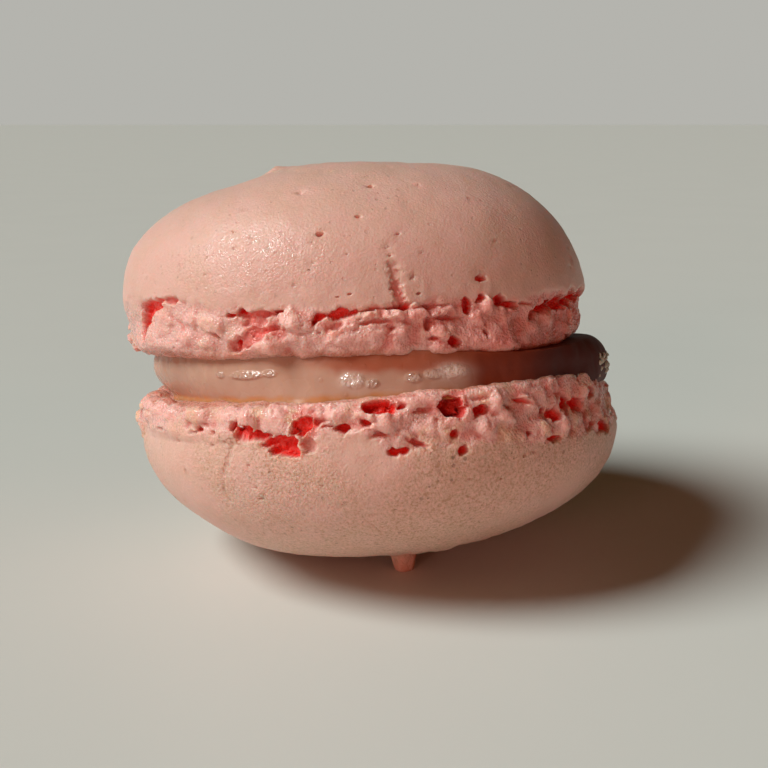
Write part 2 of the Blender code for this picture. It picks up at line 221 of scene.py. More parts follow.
UPPER = Shell(
    name="upper_shell",
    rim_radius=20.7 * MM,
    dome_height=12.65 * MM,
    dome_power=2.46,
    power_change=-0.39,
    dome_slant=0.089,
    foot_height=3.8 * MM,
    foot_radius=20.7 * MM,
    foot_spread=0.05 * MM,
    edge_height=2.0 * MM,
    shift=-1.8 * MM,
    facing=1,
    seed=11,
    crust_line=(
        (-90, 4.1), (-55, 4.5), (-41, 4.4), (-29, 3.9), (-9, 3.6), (10, 3.6), (18, 3.8), (28, 4.1),
        (41, 3.4), (51, 4.3), (75, 4.7), (95, 4.1),
    ),
    cracks=((118, 141), (166, 188), (222, 240)),
    hollows=(
        # the crescent on the left
        Mark(-42.5, 4.65, 2.6, 0.6, 0.65, -4), Mark(-48.0, 4.45, 2.8, 0.9, 0.85, 14),
        Mark(-51.2, 4.2, 2.6, 1.3, 1.0, 18), Mark(-54.0, 3.8, 2.2, 1.9, 1.1, -20),
        Mark(-56.0, 2.9, 2.1, 2.3, 1.2),
        # the slit left of the middle, with the wide recess under it
        Mark(-20, 3.35, 4.4, 0.7, 0.75, 2), Mark(-20, 2.9, 2.6, 1.1, 0.55),
        Mark(-23.2, 3.55, 1.0, 0.7, 1.5, 20), Mark(-25.6, 3.3, 1.0, 0.5, 1.1),
        Mark(-14.6, 3.55, 1.1, 0.45, 1.4, 10), Mark(-18.5, 2.1, 3.4, 0.8, 0.75, 8),
        Mark(-22.5, 1.55, 4.2, 1.5, 0.62, 22), Mark(-25.1, 1.15, 1.0, 0.8, 1.5, 30),
        Mark(-30.2, 1.9, 1.7, 0.35, 0.7, -35),
        # the red hole at the middle, and the crack that runs on from it
        Mark(-5.7, 2.9, 1.4, 0.75, 1.3, 10), Mark(-2, 3.1, 1.9, 0.95, 1.1, 15),
        Mark(0.6, 3.15, 1.5, 0.5, 1.1, 25), Mark(-2.5, 2.35, 1.8, 0.7, 0.5, 10),
        Mark(4.8, 3.45, 3.0, 0.35, 0.75, 5), Mark(8.6, 3.5, 1.6, 0.3, 0.8),
        Mark(11.2, 3.55, 1.8, 0.55, 1.4, 3), Mark(17, 3.45, 4.6, 0.4, 0.6, 6),
        # the row of openings on the right
        Mark(25.6, 3.35, 0.85, 1.6, 1.4, 12), Mark(28.8, 3.9, 0.9, 0.8, 1.2, 20),
        Mark(34.3, 3.6, 1.6, 1.1, 1.6, -10), Mark(37.2, 3.4, 1.5, 0.8, 1.2, -14),
        Mark(41.5, 3.35, 1.9, 0.35, 0.8, -5), Mark(44.5, 2.65, 1.6, 0.9, 1.2, 25),
        Mark(49.5, 2.95, 2.8, 1.0, 1.5, 12), Mark(56, 3.4, 3.0, 1.4, 1.7, 14),
        Mark(63, 3.8, 2.8, 1.5, 1.7, 10), Mark(70, 4.0, 3.2, 1.5, 1.7, 10),
        Mark(78, 4.2, 3.2, 1.3, 1.5, 6),
        # rosy lines and bubbles in the froth
        Mark(20.8, 2.55, 3.6, 0.45, 0.75), Mark(16.4, 2.1, 0.8, 1.2, 0.6), Mark(5, 2.45, 3.2, 0.6, 0.55),
        Mark(9, 1.9, 0.6, 0.4, 0.9), Mark(17.6, 1.0, 1.1, 0.5, 0.8), Mark(22.2, 0.75, 1.3, 0.9, 1.4, -8),
        Mark(29.5, 1.3, 0.5, 0.9, 0.6), Mark(-6.2, 1.9, 0.5, 0.3, 0.5),
    ),
    puffs=(
        Mark(-46.5, 3.2, 2.6, 2.2, 0.45, 20), Mark(-36, 3.3, 1.7, 1.3, 0.3, 10),
        Mark(-31, 2.8, 2.6, 1.5, 0.35, -15), Mark(-39, 1.9, 1.8, 1.2, 0.25),
        Mark(-33.4, 1.3, 1.8, 0.9, 0.2), Mark(-12.6, 2.95, 1.9, 1.6, 0.5, -10),
        Mark(-17.2, 1.0, 3.0, 1.3, 0.4, 10), Mark(-8.3, 2.5, 0.9, 0.8, 0.25),
        Mark(-3.3, 1.7, 1.5, 0.8, 0.35, 40), Mark(0.4, 2.45, 1.8, 0.8, 0.45, 30),
        Mark(5.0, 3.05, 1.5, 0.6, 0.4), Mark(9.0, 2.9, 2.0, 0.6, 0.35), Mark(11.4, 1.9, 1.2, 0.9, 0.35),
        Mark(14.8, 2.8, 1.7, 1.4, 0.4, -10), Mark(18.8, 1.5, 1.5, 1.3, 0.4),
        Mark(21.7, 3.15, 1.6, 0.7, 0.3), Mark(30.4, 3.3, 1.2, 1.2, 0.5, 50),
        Mark(28.2, 2.3, 1.2, 1.3, 0.45, 60), Mark(34.6, 2.3, 1.3, 1.3, 0.4),
        Mark(37.6, 2.75, 1.0, 0.6, 0.4), Mark(50.5, 2.0, 1.9, 1.5, 0.4), Mark(43.5, 1.5, 1.7, 1.2, 0.3),
        # froth that hangs over the filling
        Mark(-33, -0.2, 5.0, 1.9, 0.2), Mark(-22, -0.3, 5.4, 2.0, 0.12), Mark(-11, -0.3, 5.0, 1.9, 0.12),
        Mark(0, -0.3, 4.6, 2.0, 0.2), Mark(10, -0.3, 4.2, 1.8, 0.25), Mark(20, -0.2, 4.0, 1.6, 0.3),
        Mark(33, -0.2, 4.4, 1.6, 0.3),
    ),
    bulges=((-84, 20, -0.4), (80, 22, -0.6)),
    brims=((42, 36, 0.6, 0.0), (36, 26, 0.0, 0.8)),
    knobs=(
        # the peak that the piping left, and the dips beside it
        (-5.7, -7.4, 1.0, 0.42),
        (-4.2, -7.6, 1.3, 0.1),
        (-9.4, -6.6, 2.4, -0.3),
        (5.2, -6.5, 4.6, -0.4),
    ),
    pits=(
        (29.2, 5.4, 0.55), (7.1, 12.8, 0.3), (-11.7, 12.5, 0.24), (3.0, 10.3, 0.24), (-5.5, 9.1, 0.32),
        (9.3, 7.3, 0.17), (8.7, 7.9, 0.15), (11.4, 8.9, 0.2), (-7.1, 8.5, 0.12), (0.2, 7.5, 0.14),
        (10.7, 6.0, 0.24), (13.7, 5.8, 0.2), (14.8, 4.4, 0.22), (16, 7.4, 0.12), (-26, 9.8, 0.14),
        (35, 8.2, 0.16), (-2, 4.4, 0.16),
    ),
    fissures=(
        (1.1, 0.45, ((11.0, 3.5), (10.5, 4.4), (9.9, 5.2))),
        (0.8, 0.3, ((9.9, 5.2), (9.3, 6.0), (9.6, 6.6))),
    ),
    lip_height=0.7 * MM,
    toast=0.2,
    rosy_shade=0.52,
)
LOWER = Shell(
    name="lower_shell",
    rim_radius=21.2 * MM,
    dome_height=11.5 * MM,
    dome_power=2.33,
    power_change=0.26,
    dome_slant=-0.082,
    foot_height=3.3 * MM,
    foot_radius=21.35 * MM,
    foot_spread=0.5 * MM,
    edge_height=1.5 * MM,
    shift=0.0,
    facing=-1,
    seed=23,
    crust_line=(
        (-90, 2.9), (-57, 2.7), (-41, 2.6), (-33, 2.2), (-25, 2.9), (-16, 3.0), (-11, 2.4), (-3, 2.6),
        (3, 4.0), (12, 3.7), (25, 3.9), (38, 4.2), (60, 4.1), (95, 3.6),
    ),
    cracks=((95, 112), (150, 174), (205, 228)),
    hollows=(
        # the stepped crack left of the middle
        Mark(-30.3, 2.0, 1.3, 1.0, 1.2, -50), Mark(-28.3, 2.45, 1.9, 1.2, 1.4, -25),
        Mark(-25.2, 2.75, 2.4, 0.8, 1.2, -4), Mark(-20.4, 3.15, 3.4, 1.1, 1.4, -6),
        Mark(-18.3, 3.75, 1.8, 1.5, 1.5), Mark(-20.8, 3.85, 1.4, 0.9, 1.4),
        # the bubbles that run on from it
        Mark(-15, 1.85, 1.7, 1.7, 1.2), Mark(-16.9, 2.3, 0.9, 0.8, 1.2),
        Mark(-12.4, 1.75, 1.7, 0.7, 0.8, -10), Mark(-10.0, 2.05, 1.2, 0.3, 0.6),
        Mark(-7.2, 2.25, 1.5, 0.9, 1.4), Mark(-2.6, 1.9, 1.0, 0.65, 1.2, 10),
        Mark(-14, 3.4, 1.2, 1.4, 0.4), Mark(-40.8, 2.3, 0.7, 0.6, 1.0), Mark(-42.5, 2.5, 1.3, 0.3, 0.5),
        Mark(-36.8, 2.5, 0.7, 0.4, 0.8), Mark(-56, 2.5, 2.4, 0.4, 0.6),
        # under the filling
        Mark(0.2, 0.55, 2.6, 1.3, 1.7), Mark(2.2, 0.7, 1.6, 1.0, 1.7), Mark(5, 0.75, 1.0, 0.5, 1.1, -25),
        Mark(8.8, 1.15, 1.9, 0.4, 1.1, -5), Mark(14.9, 0.93, 2.0, 1.8, 1.85),
        Mark(16.7, 1.35, 1.2, 1.0, 1.85), Mark(21.4, 1.45, 1.4, 0.9, 1.4),
        Mark(27.5, 1.35, 1.5, 0.4, 0.9, 12), Mark(31.5, 1.05, 2.2, 0.5, 0.9, 10),
        Mark(21.5, 0.5, 2.2, 0.6, 0.4),
        # the cluster on the right
        Mark(37.6, 1.9, 0.8, 0.6, 1.0, -20), Mark(40.8, 2.35, 1.7, 1.1, 1.4),
        Mark(45.2, 1.6, 1.8, 1.1, 1.6), Mark(50, 1.8, 2.2, 1.2, 1.5), Mark(56.7, 1.0, 1.9, 1.1, 1.3),
        Mark(55, 3.5, 1.8, 0.5, 0.9, -20), Mark(62, 3.9, 2.8, 1.2, 1.6), Mark(39.4, 4.1, 1.9, 0.8, 1.0),
        Mark(32.7, 3.5, 0.8, 0.55, 0.9), Mark(43, 0.8, 1.0, 0.4, 0.5),
        # along the crust's edge
        Mark(15.1, 3.0, 0.7, 0.8, 1.2), Mark(17.1, 4.3, 0.9, 0.7, 1.1, -30),
        Mark(3.8, 4.1, 1.9, 0.7, 1.4), Mark(7.4, 3.5, 2.4, 0.7, 0.7, 25), Mark(0.3, 2.95, 1.9, 0.5, 0.6),
        Mark(11.5, 1.9, 0.5, 0.4, 0.6),
    ),
    puffs=(
        # the rounded lumps at the left end, which stand up round the filling
        Mark(-100, -0.4, 4.5, 2.6, 0.55), Mark(-84, -0.3, 3.6, 2.8, 0.75), Mark(-71, -0.1, 3.4, 2.4, 0.7),
        Mark(-60, 0.1, 2.8, 2.2, 0.6), Mark(-52, 0.6, 2.2, 1.6, 0.35), Mark(-66, 1.4, 2.6, 1.4, 0.35),
        Mark(-41.5, 1.0, 2.8, 1.8, 0.4), Mark(-33.3, 0.9, 2.3, 1.5, 0.3),
        Mark(-27.4, 1.3, 1.6, 1.9, 0.35), Mark(-21.5, 1.2, 2.4, 2.4, 0.4),
        Mark(-13.4, 0.3, 1.8, 0.8, 0.3), Mark(-8.4, 1.1, 2.2, 1.3, 0.35), Mark(-2.6, 1.2, 1.5, 1.0, 0.35),
        Mark(1.4, 1.9, 2.4, 1.5, 0.45, -15), Mark(-15.8, 3.3, 0.8, 1.8, 0.3, 10),
        Mark(8, 0.35, 3.2, 0.9, 0.35), Mark(17.4, 0.4, 0.9, 0.9, 0.3), Mark(24.8, 0.9, 1.1, 1.9, 0.4),
        Mark(22.3, 2.9, 2.0, 1.1, 0.4, 35), Mark(27.2, 2.0, 2.2, 1.0, 0.45, 35),
        Mark(33.6, 1.3, 2.6, 0.9, 0.45, 28), Mark(9.6, 2.3, 2.2, 1.3, 0.35), Mark(13, 2.7, 1.4, 1.3, 0.3),
        Mark(5.2, 3.0, 1.8, 0.9, 0.3), Mark(42.8, 2.85, 1.5, 1.5, 0.4), Mark(37.6, 3.2, 1.5, 1.5, 0.45),
        Mark(60, 2.6, 2.0, 1.4, 0.4), Mark(53, 0.8, 1.9, 1.0, 0.35), Mark(37, 0.6, 2.0, 0.9, 0.3),
    ),
    bulges=((-78, 16, -0.3), (79, 20, -0.3)),
    brims=((47, 29, 1.0, 0.0), (84, 20, 0.0, -0.6), (10, 14, 0.3, 0.0)),
    knobs=((-16.0, 6.6, 4.2, -0.45), (5.0, 9.6, 4.0, 0.4), (11.0, 8.3, 3.0, 0.2)),
    pits=(
        (-28, 4.9, 0.16), (-2, 9.9, 0.12), (31, 5.2, 0.14), (26, 6.8, 0.16), (-12, 6.4, 0.12),
        (12, 5.8, 0.12),
    ),
    fissures=(
        (0.7, 0.16, ((-31.5, 2.9), (-32.8, 4.3), (-35, 5.9))),
        (0.35, 0.12, ((-35, 5.9), (-36.7, 7.2), (-36, 7.9))),
        (0.18, 0.08, ((18, 7.8), (24, 8.8), (29, 9.5))),
        (0.18, 0.08, ((-4, 9.3), (-2, 9.9), (0, 10.7))),
    ),
    lip_height=0.25 * MM,
    toast=0.65,
    rosy_shade=0.22,
)


# ---------------- settings


LENGTH = {"min": 0.0, "precision": 5, "unit": "LENGTH"}
COLOUR = {"min": 0.0, "max": 1.0, "subtype": "COLOR"}


class MeringueSettings(bpy.types.PropertyGroup):
    """The froth of the feet and the skin of the domes."""

    lump_size: FloatProperty(
        name="Lump Size", description="Size of the larger lumps of froth in a foot",
        default=1.3 * MM, min=0.3 * MM, precision=5, unit="LENGTH",
    )
    lump_height: FloatProperty(
        name="Lump Height", description="How far the larger lumps of froth stand out",
        default=0.62 * MM, **LENGTH,
    )
    skin_relief: FloatProperty(
        name="Skin Relief", description="Height of the slow waves in a dome's skin",
        default=0.07 * MM, **LENGTH,
    )
    bubble_count: IntProperty(
        # Small burst bubbles in each foot, besides the ones listed
        name="Bubbles", description="Small burst bubbles in each foot, besides the ones placed by hand",
        default=150, min=0,
    )
    skin_colour: FloatVectorProperty(
        name="Skin", description="Colour of the baked skin of the domes",
        default=(0.69, 0.43, 0.36), **COLOUR,
    )
    froth_colour: FloatVectorProperty(
        name="Froth", description="Colour of the froth's dry outer surface",
        default=(0.68, 0.385, 0.34), **COLOUR,
    )
    # Partly the froth's redder inside, partly painted shade in creases, in shallow hollows and on the
    # froth's shaded right side.
    crevice_and_shade_colour: FloatVectorProperty(
        name="Crevices", description="Colour between the lumps of froth",
        default=(0.68, 0.20, 0.165), **COLOUR,
    )
    # Partly the raw inside's deeper colour, partly a painted glow of the light that bounces inside the
    # openings.
    hollow_inside_and_glow_colour: FloatVectorProperty(
        name="Hollows", description="Colour of the raw inside that the openings show",
        default=(0.90, 0.065, 0.05), **COLOUR,
    )
    # Also put on the piping's nub as painted shade.
    lip_and_nub_shade_colour: FloatVectorProperty(
        name="Lip", description="Colour of a foot's lip, which the filling has soaked",
        default=(0.50, 0.17, 0.10), **COLOUR,
    )
    toast_colour: FloatVectorProperty(
        name="Toast", description="Colour of the toasted specks in the skin",
        default=(0.50, 0.29, 0.18), **COLOUR,
    )


class FillingSettings(bpy.types.PropertyGroup):
    """The cream between the shells."""

    bulge: FloatProperty(
        name="Bulge", description="How far the filling's edge stands out at mid height",
        default=0.3 * MM, **LENGTH,
    )
    spread: FloatProperty(
        name="Spread", description="How far the filling spreads over the rounded edges of the shells",
        default=0.5 * MM, **LENGTH,
    )
    ripple: FloatProperty(
        name="Ripple", description="Height of the small waves in its wet edge", default=0.1 * MM, **LENGTH
    )
    glint_height: FloatProperty(
        name="Glint Height", description="Height of the short ripples in the patches that glint",
        default=0.04 * MM, **LENGTH,
    )
    cream_colour: FloatVectorProperty(
        name="Cream", description="Colour of the filling", default=(0.46, 0.27, 0.195), **COLOUR
    )
    # Partly the real soaking into the shells, partly painted shadow and painted shade on the filling.
    soaked_and_shade_colour: FloatVectorProperty(
        name="Soaked Edge", description="Colour where the filling soaks into the shells",
        default=(0.38, 0.09, 0.04), **COLOUR,
    )
    crumb_count: IntProperty(
        name="Crumbs", description="Crumbs that stick to the filling's edge", default=40, min=0
    )


class StageSettings(bpy.types.PropertyGroup):
    """The table, the lights and the camera."""

    table_colour: FloatVectorProperty(
        name="Table", description="Colour of the table top", default=(0.68, 0.68, 0.635), **COLOUR
    )
    key_strength: FloatProperty(
        name="Key", description="Strength of the broad light from the upper left", default=3.3, min=0.0
    )
    key_softness: FloatProperty(
        name="Key Softness", description="How wide the broad light looks from the table",
        default=math.radians(28), subtype="ANGLE",
    )
    bounce_strength: FloatProperty(
        name="Bounce", description="Strength of the low, warm light from the front left",
        default=0.8, min=0.0,
    )
    glow_strength: FloatProperty(
        name="Glow", description="Strength of the low, reddish light from the front right",
        default=0.3, min=0.0,
    )
    fill_strength: FloatProperty(
        name="Fill", description="Strength of the soft light from above", default=0.026, min=0.0
    )
    horizon_strength: FloatProperty(
        name="Horizon", description="Strength of the pale surroundings behind the table's edge",
        default=0.46, min=0.0,
    )
    camera_distance: FloatProperty(
        name="Camera Distance", description="From the camera to the middle of the macaron",
        default=105 * MM, min=40 * MM, precision=4, unit="LENGTH",
    )
    camera_pitch: FloatProperty(
        name="Camera Pitch", description="How far the camera looks down",
        default=math.radians(13), subtype="ANGLE",
    )


class MacaronSettings(bpy.types.PropertyGroup):
    """Everything that a user may change."""

    meringue: PointerProperty(type=MeringueSettings, name="Meringue")
    filling: PointerProperty(type=FillingSettings, name="Filling")
    stage: PointerProperty(type=StageSettings, name="Stage")


# ---------------- shapes shared with the frame


def dome_section(angle, radius, height, power):
    """(radius, height) on a superellipse, for angles from 0 at its rim to a quarter turn at its top."""
    across = np.maximum(np.cos(angle), 0.0) ** (2 / power)
    up = np.maximum(np.sin(angle), 0.0) ** (2 / power)
    return radius * across, height * up


def noise_at(points, size, offset):
    """Perlin noise at each point, with waves of a given size."""
    places = points / size + np.array(offset)
    return np.array([noise.noise(place) for place in places.tolist()])


def fractal_at(points, size, offset, octaves=4):
    """Noise with ever finer waves on top of each other."""
    places = points / size + np.array(offset)
    return np.array([noise.fractal(place, 1.0, 2.0, octaves) for place in places.tolist()])


def smoothstep(low, high, value):
    """0 below low, 1 above high, and a smooth climb between them."""
    share = np.clip((value - low) / (high - low), 0.0, 1.0)
    return share * share * (3 - 2 * share)


def azimuth_of(points, facing):
    """The azimuth of each point, counted backwards on a shell that is turned over."""
    return np.arctan2(points[:, 0], -points[:, 1] * facing)


def turn_from(azimuth, place):
    """How far each azimuth is from a place in degrees, the shorter way round."""
    return np.remainder(azimuth - math.radians(place) + math.pi, math.tau) - math.pi


def bell(value, middle, reach):
    """1 at the middle, falling away smoothly on both sides."""
    return np.exp(-(((value - middle) / reach) ** 2))


def swell(shell, points):
    """The slow unevenness of a shell, which spread as it baked."""
    return SWELL_HEIGHT * noise_at(points, SWELL_LENGTH, (0, shell.seed, 0))


def uneven(shell, points):
    """The points of a plain turned shell moved to the real one's slow shape."""
    x, y, z = points.T
    radius = np.hypot(x, y)
    azimuth = azimuth_of(points, shell.facing)
    moved = points.copy()

    dome = z > shell.foot_height
    across = (radius[dome] / shell.rim_radius) ** (shell.dome_power / 2)
    up = ((z[dome] - shell.foot_height) / shell.dome_height) ** (shell.dome_power / 2)
    angle = np.arctan2(up, across)
    power = shell.dome_power + shell.power_change * np.sin(azimuth[dome])
    out, height = dome_section(angle, shell.rim_radius, shell.dome_height, power)
    moved[dome, 0] = out * np.sin(azimuth[dome])
    moved[dome, 1] = -out * np.cos(azimuth[dome]) * shell.facing
    height = height * (1 + shell.dome_slant * moved[dome, 0] / shell.dome_height)
    moved[dome, 2] = shell.foot_height + height
    lift = swell(shell, moved[dome])
    steepness = np.cos(angle)
    moved[dome, :2] *= (1 + lift * steepness / shell.rim_radius)[:, None]
    moved[dome, 2] += lift * (1 - steepness)

    foot = ~dome & (radius > shell.foot_radius - 1.5 * EDGE_WIDTH)
    side = points[foot]
    below_rim = np.clip((shell.foot_height - side[:, 2]) / MM, 0, 1)
    above_base = np.clip(side[:, 2] / (0.5 * shell.edge_height), 0, 1)
    ruffle = RUFFLE_HEIGHT * noise_at(side, RUFFLE_LENGTH, (shell.seed, 0, 0))
    spread = ruffle - shell.foot_spread * np.sin(azimuth[foot])
    outward = swell(shell, side) + below_rim * above_base * spread
    moved[foot, :2] *= (1 + outward / radius[foot])[:, None]
    return moved


def leaning():
    """The turn of the whole macaron."""
    return Matrix.Rotation(-LEAN_BACK, 3, "X") @ Matrix.Rotation(-LEAN_SIDE, 3, "Y")


def stood(shell, points):
    """A shell's own points as they stand in the leaning macaron, about the middle of its filling."""
    placed = points.copy()
    placed[:, 1:] *= shell.facing
    placed += (shell.shift, 0, shell.facing * FILLING_GAP / 2)
    return placed @ np.array(leaning()).T


def middle_of_filling():
    """Where the middle of the filling is in the frame: the upper shell's box there gives it."""
    ring = np.linspace(0, math.tau, RING_POINTS, endpoint=False)
    section = np.array(evenly_spaced(shell_section(UPPER), 1 * MM))
    plain = [
        np.stack([r * np.sin(ring), -r * np.cos(ring), np.full(ring.size, z)], axis=1)
        for r, z in section
    ]
    points = stood(UPPER, uneven(UPPER, np.concatenate(plain)))
    own_middle = (points.min(axis=0) + points.max(axis=0)) / 2
    low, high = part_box(UPPER.name)
    return np.array((low + high) / 2) - own_middle


# ---------------- mesh making


def evenly_spaced(section, step):
    """The points of an outline moved to be about one step apart, with its two ends kept."""
    section = np.array(section)
    gone = np.concatenate([[0], np.cumsum(np.hypot(*np.diff(section, axis=0).T))])
    count = max(2, round(gone[-1] / step) + 1)
    places = np.linspace(0, gone[-1], count)
    return list(zip(np.interp(places, gone, section[:, 0]), np.interp(places, gone, section[:, 1])))


def dome_outline(shell):
    """The outline of the dome, from its top to its rim."""
    angle = np.linspace(math.pi / 2, 0, OUTLINE_POINTS)
    radius, height = dome_section(angle, shell.rim_radius, shell.dome_height, shell.dome_power)
    return np.stack([radius, shell.foot_height + height], axis=1)


def foot_outline(shell):
    """The outline of the foot, from the rim down its side and round its lower edge."""
    side = [(shell.rim_radius, shell.foot_height), (shell.foot_radius, shell.foot_height - MM)]
    angle = np.linspace(0, math.pi / 2, EDGE_POINTS)
    out = shell.foot_radius - EDGE_WIDTH * (1 - np.cos(angle))
    return np.array(side + list(zip(out, shell.edge_height * (1 - np.sin(angle)))))


def shell_section(shell):
    """The half section of a shell from the top of the dome to where the flat base begins."""
    return np.concatenate([dome_outline(shell), foot_outline(shell)[1:]])


def spun(section, steps):
    """A closed mesh turned about the Z axis from a half section that begins and ends on the axis."""
    bm = bmesh.new()
    verts = [bm.verts.new((radius, 0, height)) for radius, height in section]
    edges = [bm.edges.new(pair) for pair in zip(verts, verts[1:])]
    bmesh.ops.spin(
        bm, geom=verts + edges, cent=(0, 0, 0), axis=(0, 0, 1), angle=math.tau, steps=steps, use_merge=True
    )
    bmesh.ops.remove_doubles(bm, verts=bm.verts, dist=TINY)
    bmesh.ops.recalc_face_normals(bm, faces=bm.faces)
    return bm


def halve_steps(bm, steps, chosen):
    """Halves the steps of a turned mesh round the rings that are chosen by radius and height."""
    edges = []
    for edge in bm.edges:
        a, b = (vert.co for vert in edge.verts)
        if abs(a.z - b.z) > TINY or a.xy.length < 0.1 * MM:
            continue
        if abs(a.xy.length - b.xy.length) < TINY and chosen(a.xy.length, a.z):
            edges.append(edge)
    cut = bmesh.ops.subdivide_edges(bm, edges=edges, cuts=1)
    for item in cut["geom_inner"]:
        if isinstance(item, bmesh.types.BMVert):
            item.co.xy = item.co.xy / math.cos(math.pi / steps)


def plain_shell(shell):
    """The turned shell, finely meshed where it is rough."""
    dome = dome_outline(shell)
    foot = foot_outline(shell)
    fine_top = shell.foot_height + FINE_BAND
    upper = evenly_spaced(dome[dome[:, 1] > fine_top], DOME_STEP)
    lower = evenly_spaced(dome[dome[:, 1] <= fine_top], FOOT_STEP)
    side = evenly_spaced(foot, FOOT_STEP)
    flat = shell.foot_radius - EDGE_WIDTH
    base = evenly_spaced([(flat, 0.0), (flat - BASE_BAND, 0.0)], BASE_STEP)
    inner = flat - BASE_BAND - MM
    section = upper + lower + side[1:] + base[1:] + [(inner, 0.0), (0.5 * inner, 0.0), (0.0, 0.0)]
    steps = FIRST_STEPS
    bm = spun(section, steps)
    outside = flat - 0.05 * MM
    for chosen in (
        lambda radius, height: radius > HALVING_RADIUS and (height > 0.0 or radius > inner + 0.1 * MM),
        lambda radius, height: radius > inner + 0.1 * MM and height < fine_top + MM,
        lambda radius, height: radius > outside and height < fine_top,
    ):
        halve_steps(bm, steps, chosen)
        steps *= 2
    return bm


def refine_near(bm, near):
    """Splits the faces whose middles are near a small mark."""
    middles = np.array([face.calc_center_median() for face in bm.faces])
    chosen = near(middles)
    edges = dict.fromkeys(edge for face, take in zip(bm.faces, chosen) if take for edge in face.edges)
    bmesh.ops.subdivide_edges(bm, edges=list(edges), cuts=1, use_grid_fill=True)


def mesh_from(bm, name):
    """A new mesh with what a bmesh holds, which is freed."""
    mesh = bpy.data.meshes.new(name)
    bm.to_mesh(mesh)
    bm.free()
    return mesh


def vectors(items, name):
    """The named vector of each vertex or normal, one a row."""
    rows = np.empty(len(items) * 3)
    items.foreach_get(name, rows)
    return rows.reshape(-1, 3)


def set_vertices(mesh, points, masks):
    """Moves its vertices to the rows, and gives them the values that a material reads by name."""
    mesh.vertices.foreach_set("co", points.ravel())
    mesh.update()
    for name, values in masks.items():
        mesh.attributes.new(name, "FLOAT", "POINT").data.foreach_set("value", values)


def finished_piece(name, mesh, material, slot, *nodes):
    """A piece in the scene, which rides on the macaron and stands for its solid."""
    piece = bpy.data.objects.new(name, mesh)
    bpy.context.scene.collection.objects.link(piece)
    mesh.materials.append(material)
    mesh.shade_smooth()
    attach(piece, BODY)
    if nodes:
        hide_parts(*nodes)
    return piece


# ---------------- the froth and the skin


def crust_edge(shell, azimuth, points):
    """The height of the crust's ragged lower edge at each azimuth."""
    places = [math.radians(place) for place, _ in shell.crust_line]
    heights = [height * MM for _, height in shell.crust_line]
    level = np.interp(azimuth, places, heights)
    hidden = (azimuth < places[0]) | (azimuth > places[-1])
    round_the_back = (places[-1], math.tau + places[0])
    level[hidden] = np.interp(azimuth[hidden] % math.tau, round_the_back, (heights[-1], heights[0]))
    slow = 0.6 * MM * noise_at(points, 4.5 * MM, (0, 0, shell.seed)) * hidden
    ragged = 0.45 * MM * noise_at(points, 1.1 * MM, (7, 0, shell.seed))
    return level + slow + ragged


def random_mark(rng, azimuth, heights, lengths, tallnesses, reliefs, tilt):
    """A mark with its measures drawn from their ranges, in this order."""
    measures = [rng.uniform(*span) for span in (heights, lengths, tallnesses, reliefs)]
    return Mark(azimuth, *measures, rng.uniform(-tilt, tilt))


def hidden_hollows(shell):
    """Openings placed at random round the sides and the back, at the dents of the solid and beside them."""
    rng = random.Random(shell.seed)
    hollows = []
    for place in range(HIDDEN_DENTS):
        azimuth = DENTS_FROM + DENTS_SWEEP * (place + rng.uniform(0.2, 0.8)) / HIDDEN_DENTS
        hollows.append(random_mark(rng, azimuth, (1.0, 2.6), (1.7, 4.0), (1.0, 1.5), (0.7, 1.5), 20))
        for _ in range(3):
            beside = azimuth + rng.uniform(-11, 11)
            hollows.append(random_mark(rng, beside, (0.7, 3.4), (0.8, 2.4), (0.4, 0.9), (0.6, 1.4), 30))
    top = shell.foot_height / MM - 0.4
    for start, end in shell.cracks:
        place = start
        while place < end:
            long = rng.uniform(1.6, 4.0)
            sizes = (long, rng.uniform(0.5, 1.0), rng.uniform(1.0, 1.8))
            hollows.append(Mark(place, top + rng.uniform(-0.3, 0.3), *sizes, rng.uniform(-12, 12)))
            place += math.degrees(long * MM / shell.rim_radius) * rng.uniform(0.8, 1.3)
    return tuple(hollows)


def hidden_puffs(shell):
    """Puffs of froth round the sides and the back."""
    rng = random.Random(shell.seed + 3)
    puffs = []
    for place in range(HIDDEN_PUFFS):
        azimuth = PUFFS_FROM + PUFFS_SWEEP * (place + rng.random()) / HIDDEN_PUFFS
        sizes = (rng.uniform(1.2, 2.8), rng.uniform(0.8, 1.7), rng.uniform(0.15, 0.35))
        puffs.append(Mark(azimuth, rng.uniform(0.2, 3.3), *sizes, rng.uniform(-40, 40)))
    return tuple(puffs)


def bubbles(shell, count):
    """Small burst bubbles all round the foot."""
    rng = random.Random(shell.seed + 3)
    marks = []
    for _ in range(count):
        size = rng.uniform(0.2, 0.6) * rng.uniform(0.6, 1.0)
        sizes = (size * rng.uniform(1.0, 1.9), size, size * rng.uniform(0.8, 1.3))
        bubble = Mark(rng.uniform(-180, 180), rng.uniform(0.2, 3.7), *sizes, rng.uniform(-40, 40))
        crowded = any(
            abs(bubble.azimuth - mark.azimuth) < 5 and abs(bubble.height - mark.height) < 1
            for mark in shell.hollows + shell.puffs
        )
        if size < 0.3 or not crowded:
            marks.append(bubble)
    return tuple(marks)


def reach_into(mark, shell, azimuth, heights, wobble):
    """Which points are near a mark, and how far they are from its middle: 1 is its outline."""
    along = turn_from(azimuth, mark.azimuth) * shell.foot_radius / MM
    up = heights / MM - mark.height
    limit = 0.7 * max(mark.length, mark.tallness) + 0.4
    near = np.flatnonzero((np.abs(along) < limit) & (np.abs(up) < limit))
    along = along[near]
    up = up[near]
    if wobble:
        along = along + wobble[0][near]
        up = up + wobble[1][near]
    tilt = math.radians(mark.tilt)
    u = (along * math.cos(tilt) + up * math.sin(tilt)) / (mark.length / 2)
    v = (up * math.cos(tilt) - along * math.sin(tilt)) / (mark.tallness / 2)
    return near, np.hypot(u, v)


